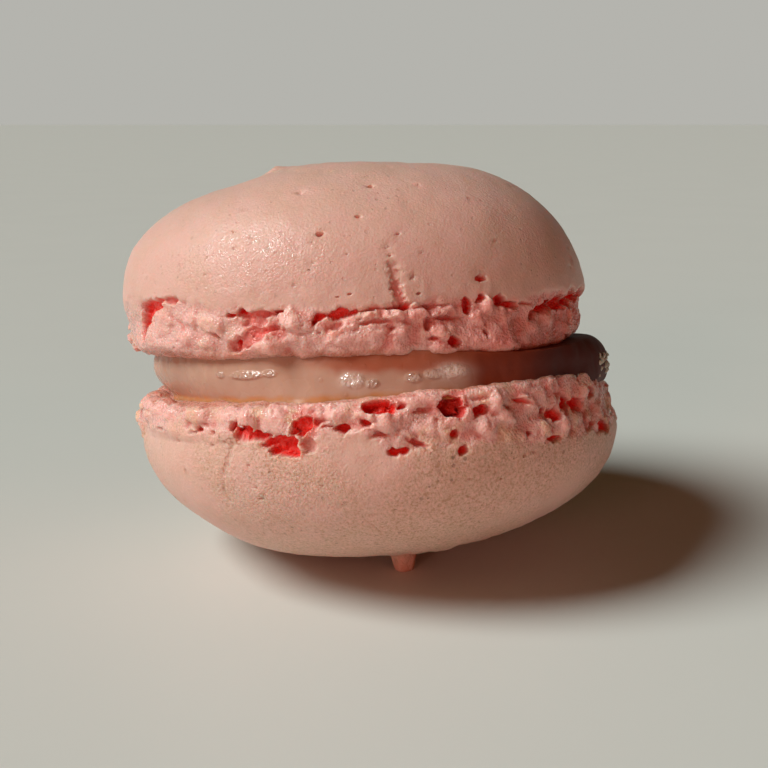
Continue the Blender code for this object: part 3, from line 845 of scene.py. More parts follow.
def hollow_depths(marks, shell, azimuth, heights, wobble, normals):
    """How deep the openings are at each point of the foot, in mm, the way out of each one, and the painted
    shade deep inside it.

    Every opening has steep walls, a ragged outline and one way out: the normal at its middle.
    """
    deepest = np.zeros(len(azimuth))
    gloom = np.zeros(len(azimuth))
    ways_out = normals.copy()
    for mark in marks:
        ragged = 0.30 * min(mark.tallness, 0.8) * min(1.0, max(0.3, mark.height / 1.5))
        near, gone = reach_into(mark, shell, azimuth, heights, [ragged * side for side in wobble])
        wall = min(0.8, 0.2 / (mark.tallness / 2))
        depth = mark.relief * smoothstep(-0.05, wall, 1 - gone)
        deeper = depth > deepest[near]
        if deeper.any():
            ways_out[near[deeper]] = normals[near[np.argmin(gone)]]
        deepest[near] = np.maximum(deepest[near], depth)
        if mark.relief > GLOOMY_DEPTH:
            gloom[near] = np.maximum(gloom[near], smoothstep(-0.05, 0.15, 1 - gone))
    return deepest, ways_out, gloom


def puff_heights(marks, shell, azimuth, heights, wobble):
    """How far the puffs stand out at each point of the foot, in mm, with rounded tops."""
    highest = np.zeros(len(azimuth))
    for mark in marks:
        near, gone = reach_into(mark, shell, azimuth, heights, [0.35 * side for side in wobble])
        rise = mark.relief * np.clip(1.15 - gone**2, 0, 1) ** 0.75
        highest[near] = np.maximum(highest[near], rise)
    return highest


def crumbs_at(points, size, offset, share):
    """Separate rounded grains on a share of the surface: 0 between them and up to 1 at their tops."""
    places = points / size + np.array(offset)
    found = [noise.voronoi(place) for place in places.tolist()]
    away = np.array([distances[0] for distances, _ in found])
    middles = np.array([tuple(middle[0]) for _, middle in found])
    chance = np.modf(np.abs(np.sin(middles @ (12.99, 78.23, 37.72)) * 4375.85))[0]
    top = np.clip(1 - (away / 0.52) ** 2, 0, 1) ** 0.7
    return np.where(chance < share, top * (0.6 + 0.4 * chance / share), 0.0)


def billows_at(points, size, offset):
    """Rounded lumps with creases between them, about 0 to 1 high."""
    places = points / (2 * size) + np.array(offset)
    waves = {"amplitude_scale": 0.5, "frequency_scale": 2.1}
    return np.array([noise.turbulence(place, 3, True, **waves) for place in places.tolist()])


def froth_relief(points, seed, settings):
    """The relief of the froth in mm, and how deep in its creases each point is."""
    warp = np.stack([noise_at(points, 1.2 * MM, (seed + turn, 3, 5)) for turn in range(3)], axis=1)
    warped = points + warp * 0.45 * MM
    softness = 0.45 + 0.55 * smoothstep(-0.25, 0.2, noise_at(points, 3.8 * MM, (seed, 6, 6)))
    billows = billows_at(warped, settings.lump_size, (seed, 1, 2))
    coarse = crumbs_at(warped, 0.85 * MM, (seed, 4, 8), 0.5)
    fine = crumbs_at(warped, 0.42 * MM, (seed, 7, 3), 0.45)
    grain = fractal_at(points, 0.45 * MM, (seed, 2, 9), octaves=3)
    lumps = (settings.lump_height / MM * (billows - 0.45) + 0.11 * coarse) * softness
    height = lumps + (0.035 * fine + 0.03 * grain) * (0.5 + 0.5 * softness)
    crease = 1 - smoothstep(-0.22, 0.02, lumps)
    return height, crease


def softness_at(turn):
    """How much softer the froth and the crust are at each azimuth in degrees: most at the front's ends."""
    return np.max([softness * bell(turn, place, reach) for place, reach, softness in SOFT_ENDS], axis=0)


def foot_relief(shell, points, normals, level, drop, azimuth, settings):
    """The way that each point of the foot's side moves, in mm, and the masks that its colours need."""
    edge = crust_edge(shell, azimuth, points)
    soft = softness_at(np.degrees(azimuth))
    blend = 0.16 + 0.4 * smoothstep(-0.2, 0.3, noise_at(points, 3.1 * MM, (3, 9, shell.seed))) + 0.6 * soft
    froth = smoothstep(-1, 1, (edge - level) / (blend * MM))
    lip = 1 - smoothstep(0.5 * shell.lip_height, 1.1 * shell.lip_height, level + drop)
    wobble = []
    for side in (5, 9):
        finer = noise_at(points, 0.3 * MM, (shell.seed, side, 4))
        wobble.append(noise_at(points, 0.7 * MM, (shell.seed, side, 0)) + 0.6 * finer)
    openings = all_hollows(shell, settings)
    hollow, ways_out, gloom = hollow_depths(openings, shell, azimuth, level, wobble, normals)
    puffs = puff_heights(shell.puffs + hidden_puffs(shell), shell, azimuth, level, wobble)
    lumps, crease = froth_relief(points, shell.seed, settings)
    rough = froth * (1 - 0.3 * lip) * (1 - 0.55 * soft)
    depth = FOOT_HOLLOW * hollow * (1 + 0.2 * wobble[0] + 0.25 * wobble[1])
    outward = rough * (lumps - 0.05) + puffs - (0.1 + 0.25 * soft) * froth
    below = 1 - smoothstep(shell.foot_height - MM, shell.foot_height + MM, level)
    for place, reach, rise in shell.bulges:
        outward += rise * bell(np.degrees(turn_from(azimuth, place)), 0, reach) * below
    marks = {
        "hollow": hollow,
        "gloom": gloom,
        "crease": crease * rough * (1 - np.clip(2.5 * puffs, 0, 0.8)),
        "froth": froth,
        "lip": lip * froth,
        "puff": np.clip(2.5 * puffs, 0, 1),
    }
    return normals * outward[:, None] - ways_out * depth[:, None], marks


def all_hollows(shell, settings):
    """The openings in a foot: the ones of the front, the ones behind, and its small bubbles."""
    return shell.hollows + hidden_hollows(shell) + bubbles(shell, settings.bubble_count)


def dome_places(marks, azimuth, points):
    """The places on a shell of marks that are given by azimuth and height in mm."""
    radius = np.hypot(points[:, 0], points[:, 1])
    outside = points[:, 2] > 0.1 * MM
    found = []
    for place, height in marks:
        off = (turn_from(azimuth, place) * radius) ** 2 + (points[:, 2] - height * MM) ** 2
        found.append(points[np.argmin(np.where(outside, off, np.inf))])
    return found


def distance_to_line(points, places):
    """The distance from each point to a line through some places."""
    nearest = np.full(len(points), np.inf)
    for start, end in zip(places, places[1:]):
        along = end - start
        share = np.clip((points - start) @ along / (along @ along), 0, 1)
        nearest = np.minimum(nearest, np.linalg.norm(points - start - share[:, None] * along, axis=1))
    return nearest


def all_pits(shell):
    """The dome's pits, and small ones scattered all over it, as (azimuth, height in mm, radius in mm)."""
    rng = random.Random(shell.seed + 2)
    pits = list(shell.pits)
    for _ in range(HIDDEN_PITS):
        share = rng.random() ** 0.8
        height = (shell.foot_height + shell.dome_height * share * 0.96) / MM
        pits.append((rng.uniform(-180, 180), height, rng.uniform(0.12, 0.2)))
    return pits


def dome_relief(shell, points, azimuth, settings):
    """The relief of the dome's skin, and how deep its marks are, both in mm."""
    waves = fractal_at(points, 3.4 * MM, (shell.seed, 6, 1), octaves=3)
    ripples = fractal_at(points, 1.1 * MM, (shell.seed, 8, 2), octaves=2)
    outward = settings.skin_relief / MM * waves + 0.05 * ripples
    for x, y, radius, rise in shell.knobs:
        away = np.hypot(points[:, 0] / MM - x, points[:, 1] / MM - y) / radius
        outward += rise * np.exp(-(away**2)) * (1 + 0.3 * ripples)
    hollow = np.zeros(len(points))
    pits = all_pits(shell)
    rough = noise_at(points, 0.3 * MM, (shell.seed, 5, 3))
    for place, (_, _, radius) in zip(dome_places([pit[:2] for pit in pits], azimuth, points), pits):
        away = (points - place) / (radius * MM)
        gone = np.linalg.norm(away * (1, 1, 1.9), axis=1) + 0.35 * rough
        hollow = np.maximum(hollow, 1.5 * radius * (1 - smoothstep(0.5, 1.1, gone)))
    for width, depth, line in shell.fissures:
        gone = distance_to_line(points, dome_places(line, azimuth, points)) / (0.5 * width * MM)
        hollow = np.maximum(hollow, depth * (1 - smoothstep(0.1, 1.2, gone + 0.6 * rough)))
    return outward, hollow


def level_of(shell, plain):
    """The height on a foot's side, which goes on falling round its lower edge and into its base."""
    inward = shell.foot_radius - np.hypot(plain[:, 0], plain[:, 1])
    return plain[:, 2] - 0.8 * np.maximum(0, inward - 0.6 * MM)


def brim_shift(shell, plain):
    """How far each point of a plain shell is squeezed towards the filling, and outwards."""
    level = level_of(shell, plain)
    edge = smoothstep(-1.0 * MM, -0.3 * MM, level) * (1 - smoothstep(0.5 * MM, 2.4 * MM, level))
    turn = np.degrees(azimuth_of(plain, shell.facing))
    drop = np.zeros(len(plain))
    spread = np.zeros(len(plain))
    for place, reach, down, out in shell.brims:
        here = edge * bell(turn, place, reach)
        drop += down * MM * here
        spread += out * MM * here
    return drop, spread


def near_marks(shell, pits, hollows, margin):
    """A test for places near a plain shell's nub, its fissures, some pits and some openings' walls."""

    def near(points):
        azimuth = azimuth_of(points, shell.facing)
        radius = np.hypot(points[:, 0], points[:, 1])
        on_dome = points[:, 2] > shell.foot_height - MM
        chosen = np.zeros(len(points), dtype=bool)
        for place, (_, _, size) in zip(dome_places([pit[:2] for pit in pits], azimuth, points), pits):
            chosen |= np.linalg.norm(points - place, axis=1) < (size + margin) * MM
        for width, _, line in shell.fissures:
            gone = distance_to_line(points, dome_places(line, azimuth, points))
            chosen |= gone < (0.5 * width + margin) * MM
        for x, y, size, _ in shell.knobs:
            off = np.hypot(points[:, 0] / MM - x, points[:, 1] / MM - y)
            chosen |= on_dome & (off < size + margin) & (size < 1.5)
        outer = np.flatnonzero(radius > shell.foot_radius - EDGE_WIDTH - BASE_BAND)
        level = level_of(shell, points[outer]) - brim_shift(shell, points[outer])[0]
        for mark in hollows:
            found, gone = reach_into(mark, shell, azimuth[outer], level, None)
            wall = (gone < 1 + margin / (0.5 * mark.tallness)) & (gone > 1 - 0.32 / (0.5 * mark.tallness))
            chosen[outer[found[wall]]] = True
        if shell.facing < 0:
            off_nub = np.hypot(points[:, 0] - NUB_RIGHT, points[:, 1] - NUB_FRONT)
            chosen |= (off_nub < 2 * NUB_RADIUS) & (points[:, 2] > shell.foot_height)
        return chosen

    return near


def raise_nub(shell, points, middle):
    """Draws the piping's nub out of the lower dome down to the table, and tells which points are in it."""
    off = np.hypot(points[:, 0] - NUB_RIGHT, points[:, 1] - NUB_FRONT)
    near = (off < 2.2 * NUB_RADIUS) & (points[:, 2] > shell.foot_height)
    root = points[near][np.argmin(off[near])]
    world_root = stood(shell, root[None])[0] + middle
    down = stood(shell, root[None] + (0, 0, MM))[0] + middle - world_root
    reach = world_root[2] / -down[2] * MM + 0.12 * MM
    lean = noise_at(points[near], 0.8 * MM, (3, 1, 4))
    share = off[near] / NUB_RADIUS + 0.12 * lean
    stem = 1 - smoothstep(0.55, 1.15, share)
    fillet = 0.25 * (1 - smoothstep(0.8, 2.1, share))
    points[near, 2] += reach * np.clip(0.92 * stem + fillet - 0.06 * share**2 * stem, 0, 1)
    inside = np.zeros(len(points))
    inside[near] = stem
    return points, inside


def refined_shell(shell, settings):
    """The plain turned shell as a mesh, finer still round its pits, its fissures and its openings."""
    bm = plain_shell(shell)
    small = [mark for mark in shell.hollows if mark.tallness > REFINED_TALLNESS]
    behind = [mark for mark in all_hollows(shell, settings) if mark not in shell.hollows]
    small += [mark for mark in behind if mark.tallness > REFINED_BEHIND]
    large = [mark for mark in shell.hollows if mark.tallness * mark.relief > REFINED_AGAIN]
    marked = ((all_pits(shell), []), (all_pits(shell), small), (shell.pits, large))
    for (pits, hollows), margin in zip(marked, REFINED_MARGINS):
        refine_near(bm, near_marks(shell, pits, hollows, margin))
    return mesh_from(bm, shell.name)


def make_shell(shell, material, settings):
    """A whole shell: turned, uneven, rough and placed."""
    middle = middle_of_filling()
    mesh = refined_shell(shell, settings)
    plain = vectors(mesh.vertices, "co")
    points = uneven(shell, plain)
    radius = np.hypot(plain[:, 0], plain[:, 1])
    drop, spread = brim_shift(shell, plain)
    points[:, 2] -= drop
    points[:, :2] *= 1 + (spread / np.maximum(radius, MM))[:, None]
    set_vertices(mesh, points, {})
    normals = vectors(mesh.vertex_normals, "vector")
    azimuth = azimuth_of(points, shell.facing)
    turn = np.degrees(azimuth)
    level = level_of(shell, plain) - drop

    masks = {name: np.zeros(len(points)) for name in ("hollow", "gloom", "crease", "froth", "lip", "puff")}
    moved = np.zeros((len(points), 3))
    rough_from = shell.foot_radius - EDGE_WIDTH - BASE_BAND
    side = np.flatnonzero((plain[:, 2] < shell.foot_height + FINE_BAND) & (radius > rough_from))
    here = (points[side], normals[side], level[side], drop[side], azimuth[side])
    relief, found = foot_relief(shell, *here, settings)
    moved[side] = relief * smoothstep(rough_from, rough_from + 0.8 * BASE_BAND, radius[side])[:, None]
    for name, values in found.items():
        masks[name][side] = values
    top = np.flatnonzero(plain[:, 2] > shell.foot_height - 0.5 * MM)
    relief, hollow = dome_relief(shell, points[top], azimuth[top], settings)
    moved[top] += normals[top] * ((1 - masks["froth"][top]) * relief - SKIN_HOLLOW * hollow)[:, None]
    masks["hollow"][top] = np.maximum(masks["hollow"][top], 1.1 * hollow)
    # Painted shade: the froth's crease mask grows towards its shaded right side, which turns it rosier and
    # darker there.
    masks["crease"] += shell.rosy_shade * smoothstep(*RIGHT_SHADE_RISE, turn) * (turn < RIGHT_SHADE_END)
    slow = fractal_at(points, 9 * MM, (shell.seed, 0, 2), octaves=3)
    masks["toast"] = np.clip(shell.toast * (1 + 1.1 * slow) * (1 - 0.55 * softness_at(turn)), 0, 1)
    masks["gloss"] = bell(turn, *GLOSS_AZIMUTH) * bell(points[:, 2] / MM, *GLOSS_HEIGHT)
    points = points + moved * MM
    if shell.facing < 0:
        points, inside_nub = raise_nub(shell, points, middle)
        # Painted shade: the nub takes the froth's darker, soaked-lip colour, as if shaded.
        masks["froth"] = np.maximum(masks["froth"], inside_nub)
        masks["lip"] = np.maximum(masks["lip"], inside_nub)

    placed = stood(shell, points) + middle
    placed[:, 2] = np.maximum(placed[:, 2], 0.0)
    set_vertices(mesh, placed, masks)
    return finished_piece("meringue_" + shell.name, mesh, material, "shell", shell.name)


# ---------------- the filling and its crumbs


def filling_edge(azimuth, heights, points, settings):
    """The radius of the filling's edge at each azimuth and height from its mid plane."""
    half = FILLING_GAP / 2
    reach = half + settings.spread
    rightward = np.maximum(0, np.sin(azimuth))
    leftward = np.maximum(0, -np.sin(azimuth))
    up = np.clip(heights / reach, 0, 1)
    down = np.clip(-heights / reach, 0, 1)
    below = np.clip((half - heights) / (2 * half), 0, 1)
    radius = FILLING_RADIUS - settings.bulge * up**2 + FILLING_LIP * down**2 * (1 - leftward**2)
    radius += FILLING_WAVE * noise_at(points, FILLING_WAVE_LENGTH, (0, 0, 0))
    squeezed = smoothstep(0.72, 0.97, rightward)
    radius += (FILLING_SQUEEZE + 0.15 * MM * squeezed) * rightward
    curl = 1 - np.sqrt(1 - np.minimum(up, 0.99) ** 2)
    radius -= squeezed * (FILLING_CURL * curl + FILLING_TUCK * down**3)
    radius += (FILLING_FLARE - FILLING_SLOPE * below**2) * leftward**2
    stretched = points * (1, 1, 0.55)
    radius += settings.ripple * noise_at(stretched, 2.2 * MM, (2, 0, 1))
    radius += 0.5 * settings.ripple * noise_at(stretched, 0.8 * MM, (5, 0, 1))
    wet = wet_patches(azimuth, heights, False)
    radius += settings.glint_height * wet * (0.7 + noise_at(points * (1, 1, 1.6), 0.5 * MM, (1, 8, 1)))
    return radius


def wet_patches(azimuth, heights, for_sheen):
    """How far in the rippled patches that glint each point of the filling's edge is, or how strong the
    painted sheen on it is.
    """
    inside = np.zeros(len(azimuth))
    for place, height, length, tallness, pale in WET_PATCHES:
        along = (azimuth - math.radians(place)) * FILLING_RADIUS / MM
        off = (along / (0.5 * length)) ** 2 + ((heights / MM - height) / (0.5 * tallness)) ** 2
        most = pale if for_sheen else 1.0
        inside = np.maximum(inside, most * np.exp(-off))
    return inside


def make_filling(material, settings):
    """The disc of filling, which sticks to both shells."""
    reach = FILLING_GAP / 2 + settings.spread
    inner = FILLING_RADIUS - 5 * MM
    flat = FILLING_GAP / 2 + 0.1 * MM
    section = [(0.0, flat), (inner, flat)]
    section += [(FILLING_RADIUS, height) for height in np.linspace(reach, -reach, FILLING_RINGS)]
    section += [(inner, -flat), (0.0, -flat)]
    bm = spun(section, FILLING_STEPS)
    for doubled in (1, 2):
        halve_steps(bm, FILLING_STEPS * doubled, lambda radius, height: radius > FILLING_RADIUS - MM)
    mesh = mesh_from(bm, "filling_cream")
    points = vectors(mesh.vertices, "co")
    azimuth = azimuth_of(points, 1)
    rim = np.hypot(points[:, 0], points[:, 1]) > FILLING_RADIUS - MM
    droop = FILLING_DROOP * bell(np.degrees(azimuth), DROOP_AZIMUTH, DROOP_REACH)
    points[rim, 2] -= droop[rim] * np.clip(points[rim, 2] / reach, 0, 1)
    radius = filling_edge(azimuth[rim], points[rim, 2], points[rim], settings)
    points[rim, 0] = radius * np.sin(azimuth[rim])
    points[rim, 1] = -radius * np.cos(azimuth[rim])
    masks = {
        "above": points[:, 2] / reach,
        "rightward": np.sin(azimuth),
        "painted_sheen": wet_patches(azimuth, points[:, 2], True) * rim,
        "wet": wet_patches(azimuth, points[:, 2], False) * rim,
    }
    set_vertices(mesh, points @ np.array(leaning()).T + middle_of_filling(), masks)
    return finished_piece("cream_filling", mesh, material, "filling", "filling")


def crumb_band(number):
    """The azimuths in degrees, the heights in mm and the largest radius in mm of a numbered crumb.

    Every fourth one is round the back. Of the others, the first six are at the front right.
    """
    if number % 4 == 3:
        return (100, 260), (-1.0, 1.2), 0.2 if number < 7 else 0.34
    if number < 7:
        return (51, 58), (-1.5, -1.0), 0.2
    return (66, 86), (-1.5, 0.3), 0.34


def make_crumbs(material, settings):
    """Crumbs of froth that stick to the filling, most of them at its right end."""
    rng = random.Random(5)
    middle = Vector(middle_of_filling())
    turn = leaning()
    bm = bmesh.new()
    for number in range(settings.crumb_count):
        azimuths, heights, largest = crumb_band(number)
        azimuth = math.radians(rng.uniform(*azimuths))
        height = rng.uniform(*heights) * MM
        place = Vector((math.sin(azimuth), -math.cos(azimuth), 0)) * FILLING_RADIUS
        place.z = height
        out = filling_edge(np.array([azimuth]), np.array([height]), np.array([place]), settings)[0]
        place.xy = place.xy.normalized() * (out - 0.08 * MM)
        radius = rng.uniform(0.12, largest) * MM
        for vert in bmesh.ops.create_icosphere(bm, subdivisions=2, radius=radius)["verts"]:
            bumpy = noise.noise(vert.co / (0.3 * MM) + Vector((number, 0, 0)))
            vert.co *= 1 + 0.9 * bumpy
            vert.co = turn @ (vert.co + place) + middle
    return finished_piece("filling_crumbs", mesh_from(bm, "crumbs"), material, "shell")


# ---------------- materials


class Nodes:
    """Adds nodes to a material, a node group or the surroundings, and links them."""

    def __init__(self, tree):
        self.tree = tree

    def put(self, node, name, value):
        """Gives an input of a node its value, or links it to another node's output."""
        if isinstance(value, bpy.types.NodeSocket):
            self.tree.links.new(value, node.inputs[name])
        else:
            node.inputs[name].default_value = value

    def add(self, kind, inputs=None, **settings):
        """A node with its settings and its inputs."""
        made = self.tree.nodes.new(kind)
        for name, value in settings.items():
            setattr(made, name, value)
        for name, value in (inputs or {}).items():
            self.put(made, name, value)
        return made

    def sum(self, first, second, operation="ADD", clamp=False):
        numbers = {0: first, 1: second}
        return self.add("ShaderNodeMath", numbers, operation=operation, use_clamp=clamp).outputs[0]

    def times(self, first, second):
        return self.sum(first, second, "MULTIPLY")

    def ramp(self, value, low, high, start=0.0, end=1.0):
        """A value moved smoothly from one range to another."""
        numbers = {"Value": value, "From Min": low, "From Max": high, "To Min": start, "To Max": end}
        return self.add("ShaderNodeMapRange", numbers, interpolation_type="SMOOTHSTEP").outputs["Result"]

    def mix(self, share, first, second):
        """Two colours mixed."""
        made = self.add("ShaderNodeMix", {0: share}, data_type="RGBA")
        for place, value in ((6, first), (7, second)):
            self.put(made, place, value if isinstance(value, bpy.types.NodeSocket) else (*value, 1.0))
        return made.outputs[2]

    def noise(self, place, size, detail=2.0, rough=0.5):
        numbers = {"Vector": place, "Scale": 1 / size, "Detail": detail, "Roughness": rough}
        return self.add("ShaderNodeTexNoise", numbers).outputs["Fac"]

    def bump(self, height, strength, distance):
        numbers = {"Height": height, "Strength": strength, "Distance": distance}
        return self.add("ShaderNodeBump", numbers).outputs["Normal"]

    def read(self, name):
        """The values that the vertices of a piece have by this name."""
        return self.add("ShaderNodeAttribute", attribute_name=name, attribute_type="GEOMETRY").outputs["Fac"]

    def place(self):
        """The place on the object."""
        return self.add("ShaderNodeTexCoord").outputs["Object"]

    def grain(self, place, size, spacing, radius):
        """Sugary grain there: what its node group gives."""
        numbers = {"Position": place, "Grain Size": size, "Pore Spacing": spacing, "Pore Radius": radius}
        return self.add("ShaderNodeGroup", numbers, node_tree=grain_group()).outputs

    def set_shader(self, **values):
        """Sets or links the inputs of a material's shader, named with underscores for spaces."""
        for name, value in values.items():
            self.put(self.tree.nodes["Principled BSDF"], name.replace("_", " "), value)


def tinted(tone, factors):
    """A colour with its parts made stronger or weaker, up to full strength."""
    return tuple(min(1.0, part * factor) for part, factor in zip(tone, factors))


def grain_group():
    """A node group for sugary grain: fine bumps, scattered pores and a slow mottling."""
    group = bpy.data.node_groups.get("Sugar grain")
    if group:
        return group
    group = bpy.data.node_groups.new("Sugar grain", "ShaderNodeTree")
    face = group.interface
    face.new_socket("Position", in_out="INPUT", socket_type="NodeSocketVector")
    for name, value in (("Grain Size", 0.25 * MM), ("Pore Spacing", 1.0 * MM), ("Pore Radius", 0.14)):
        socket = face.new_socket(name, in_out="INPUT", socket_type="NodeSocketFloat")
        socket.default_value = value
    nodes = Nodes(group)
    given = nodes.add("NodeGroupInput").outputs
    place = given["Position"]
    grain_scale = nodes.sum(1.0, given["Grain Size"], "DIVIDE")
    numbers = {"Vector": place, "Scale": grain_scale, "Detail": 3.0, "Roughness": 0.6}
    grain = nodes.add("ShaderNodeTexNoise", numbers).outputs["Fac"]
    pore_scale = nodes.sum(1.0, given["Pore Spacing"], "DIVIDE")
    cell = nodes.add("ShaderNodeTexVoronoi", {"Vector": place, "Scale": pore_scale}).outputs
    chance = nodes.add("ShaderNodeSeparateColor", {"Color": cell["Color"]}).outputs[0]
    radius = nodes.times(given["Pore Radius"], chance)
    inside = nodes.sum(radius, cell["Distance"], "SUBTRACT")
    crystal = nodes.add("ShaderNodeTexVoronoi", {"Vector": place, "Scale": grain_scale}).outputs
    made = {
        "Height": grain,
        "Crystals": nodes.sum(1.0, crystal["Distance"], "SUBTRACT", clamp=True),
        "Glints": nodes.add("ShaderNodeSeparateColor", {"Color": crystal["Color"]}).outputs[0],
        "Pores": nodes.ramp(inside, -0.02, 0.03),
        "Mottle": nodes.noise(place, 2.6 * MM, detail=3.0, rough=0.55),
    }
    for name in made:
        face.new_socket(name, in_out="OUTPUT", socket_type="NodeSocketFloat")
    nodes.add("NodeGroupOutput", made)
    return group


def new_material(name):
    """A material that holds a Principled BSDF and its output, and what adds its nodes."""
    material = bpy.data.materials.new(name)
    material.use_nodes = True
    return material, Nodes(material.node_tree)


def skin_tone(settings, nodes, place, grain, toast):
    """The baked skin of a dome: mottled, with toasted and paler specks and dark pores."""
    toasted = nodes.sum(toast, nodes.ramp(grain["Mottle"], 0.3, 0.7, -0.3, 0.3), clamp=True)
    skin = nodes.mix(toasted, settings.skin_colour, tinted(settings.skin_colour, (0.93, 0.95, 0.85)))
    specks = nodes.noise(place, 0.26 * MM, rough=0.6)
    speckled = nodes.times(nodes.ramp(specks, 0.5, 0.68), nodes.ramp(toast, 0.3, 0.7, 0.05, 0.95))
    skin = nodes.mix(speckled, skin, settings.toast_colour)
    paler = nodes.ramp(specks, 0.5, 0.28, 0.0, nodes.ramp(toast, 0.1, 0.7, 0.25, 0.75))
    skin = nodes.mix(paler, skin, tinted(settings.skin_colour, (1.18, 1.18, 1.18)))
    pore = nodes.times(grain["Pores"], nodes.sum(toast, 0.1))
    return nodes.mix(nodes.times(pore, 0.5), skin, tinted(settings.toast_colour, (0.45, 0.45, 0.45)))


def froth_tone(settings, nodes, place, read):
    """The froth of a foot: bright on its puffs, partly its pale outer surface and partly painted highlight;
    buff in places; rosy in its creases and towards its right, partly its redder inside and partly painted
    shade; soaked at its lip, and painted shade on the nub.
    """
    bright = tinted(settings.froth_colour, (1.18, 1.25, 1.22))
    froth = nodes.mix(nodes.noise(place, 0.8 * MM, detail=3.0), settings.froth_colour, bright)
    # Paler on the puffs: partly the froth's pale outer surface, partly painted highlight on what stands out.
    froth = nodes.mix(nodes.times(read["puff"], 0.5), froth, bright)
    most = nodes.ramp(read["toast"], 0.2, 0.7, 0.3, 0.9)
    froth = nodes.mix(nodes.ramp(nodes.noise(place, 2.2 * MM), 0.5, 0.66, 0.0, most), froth, BUFF_FROTH)
    # Rosier in the creases and towards the right: partly the froth's redder inside, partly painted shade.
    rosy_shade = nodes.ramp(read["crease"], 0.0, 0.85, 0.0, 0.85)
    froth = nodes.mix(rosy_shade, froth, settings.crevice_and_shade_colour)
    soaked = nodes.ramp(nodes.noise(place, 1.5 * MM), 0.3, 0.65, 0.25, 0.75)
    # The soaked lip, and painted shade on the nub, which shares the lip's mask.
    return nodes.mix(nodes.times(read["lip"], soaked), froth, settings.lip_and_nub_shade_colour)


def meringue_bump(nodes, place, grain, read):
    """The height of the fine relief: sugary on the froth, low on the skin and lower where it is dull."""
    pits = nodes.times(grain["Pores"], -0.8)
    sugary = nodes.times(grain["Crystals"], nodes.ramp(read["froth"], 0.0, 1.0, 0.35, 1.3))
    coarser = nodes.times(nodes.noise(place, 0.6 * MM), 0.6)
    height = nodes.sum(nodes.sum(nodes.sum(grain["Height"], pits), sugary), coarser)
    on_skin = nodes.ramp(read["toast"], 0.25, 0.7, 0.5, 1.4)
    on_skin = nodes.sum(on_skin, nodes.ramp(read["gloss"], 0.15, 0.95, 0.05, 0.5))
    on_froth = nodes.ramp(read["puff"], 0.0, 1.0, 0.7, 0.5)
    return nodes.times(height, nodes.ramp(read["froth"], 0.0, 1.0, on_skin, on_froth))


def meringue_material(settings):
    """Baked meringue: pale satin skin, paler froth, rosy crevices and red hollows, with painted shade in
    crevices and hollows and a painted glow inside the openings.
    """
    material, nodes = new_material("Baked meringue")
    place = nodes.place()
    names = ("hollow", "gloom", "crease", "froth", "lip", "toast", "puff", "gloss")
    read = {name: nodes.read(name) for name in names}
    grain = nodes.grain(place, 0.2 * MM, 0.8 * MM, 0.2)
    skin = skin_tone(settings, nodes, place, grain, read["toast"])
    surface = nodes.mix(read["froth"], skin, froth_tone(settings, nodes, place, read))
    # Shallow hollows turn rosier and darker: partly the inside's own colour, partly painted shade.
    surface = nodes.mix(nodes.ramp(read["hollow"], 0.12, 0.6), surface, settings.crevice_and_shade_colour)
    # Deeper hollows turn red: partly the raw inside, partly a painted glow of light bounced inside.
    surface = nodes.mix(nodes.ramp(read["hollow"], 0.5, 1.1), surface, settings.hollow_inside_and_glow_colour)
    # Painted shade deep inside the deepest openings.
    surface = nodes.mix(read["gloom"], surface, tinted(settings.hollow_inside_and_glow_colour, (0.75, 0.75, 0.75)))
    glossy = nodes.ramp(read["gloss"], 0.15, 0.95, 0.12, 1.0)
    glossy = nodes.ramp(read["froth"], 0.0, 1.0, glossy, 1.0)
    sparkle = nodes.times(nodes.ramp(grain["Glints"], 0.53, 0.63), glossy)
    nodes.set_shader(
        Base_Color=surface,
        Roughness=nodes.ramp(sparkle, 0.0, 1.0, 0.48, 0.14),
        Normal=nodes.bump(meringue_bump(nodes, place, grain, read), 0.9, 0.085 * MM),
        Subsurface_Weight=0.6,
        Subsurface_Radius=(1.0, 0.25, 0.17),
        Subsurface_Scale=1.2 * MM,
        Specular_IOR_Level=0.5,
    )
    return material


def cream_tone(settings, nodes, place, right):
    """The colour of the cream: darker at its upper edge, where it soaks into the shells and as painted
    shadow of the upper shell; painted shade towards its right end, almost black there; and a painted sheen
    in some wet patches.
    """
    above = nodes.read("above")
    waves = nodes.ramp(nodes.noise(place, 2.0 * MM), 0.2, 0.8, -0.12, 0.12)
    upper = nodes.sum(nodes.sum(above, nodes.ramp(right, -0.45, 0.0, 0.0, 0.45)), waves)
    # Painted shadow of the upper shell's overhang, with real soaking: the upper band is darker, and more so
    # towards the right.
    over = nodes.times(nodes.ramp(upper, 0.35, 0.75), nodes.ramp(right, -0.4, -0.05, 0.05, 0.85))
    under = nodes.ramp(nodes.sum(above, waves), -0.55, -0.82)
    # Painted shade towards the right end, where the upper shell shades the filling.
    right_shade = nodes.sum(nodes.ramp(right, 0.0, 0.34, 0.0, 0.22), nodes.ramp(right, 0.28, 0.42, 0.0, 0.78))
    cloudy = tinted(settings.cream_colour, (1.12, 1.12, 1.12))
    cream = nodes.mix(nodes.noise(place, 1.6 * MM, detail=3.0), settings.cream_colour, cloudy)
    cream = nodes.mix(over, cream, settings.soaked_and_shade_colour)
    # Painted shade: rust-brown towards the right, then almost black at the right end.
    for share, factors in (
        (under, (1.35, 2.3, 2.0)),
        (right_shade, (0.5, 0.35, 0.3)),
        (nodes.ramp(right, 0.48, 0.72), (0.2, 0.1, 0.1)),
    ):
        cream = nodes.mix(share, cream, tinted(settings.soaked_and_shade_colour, factors))
    # Painted sheen: whitish patches where the wet cream would shine.
    return nodes.mix(nodes.read("painted_sheen"), cream, PAINTED_SHEEN_CREAM)


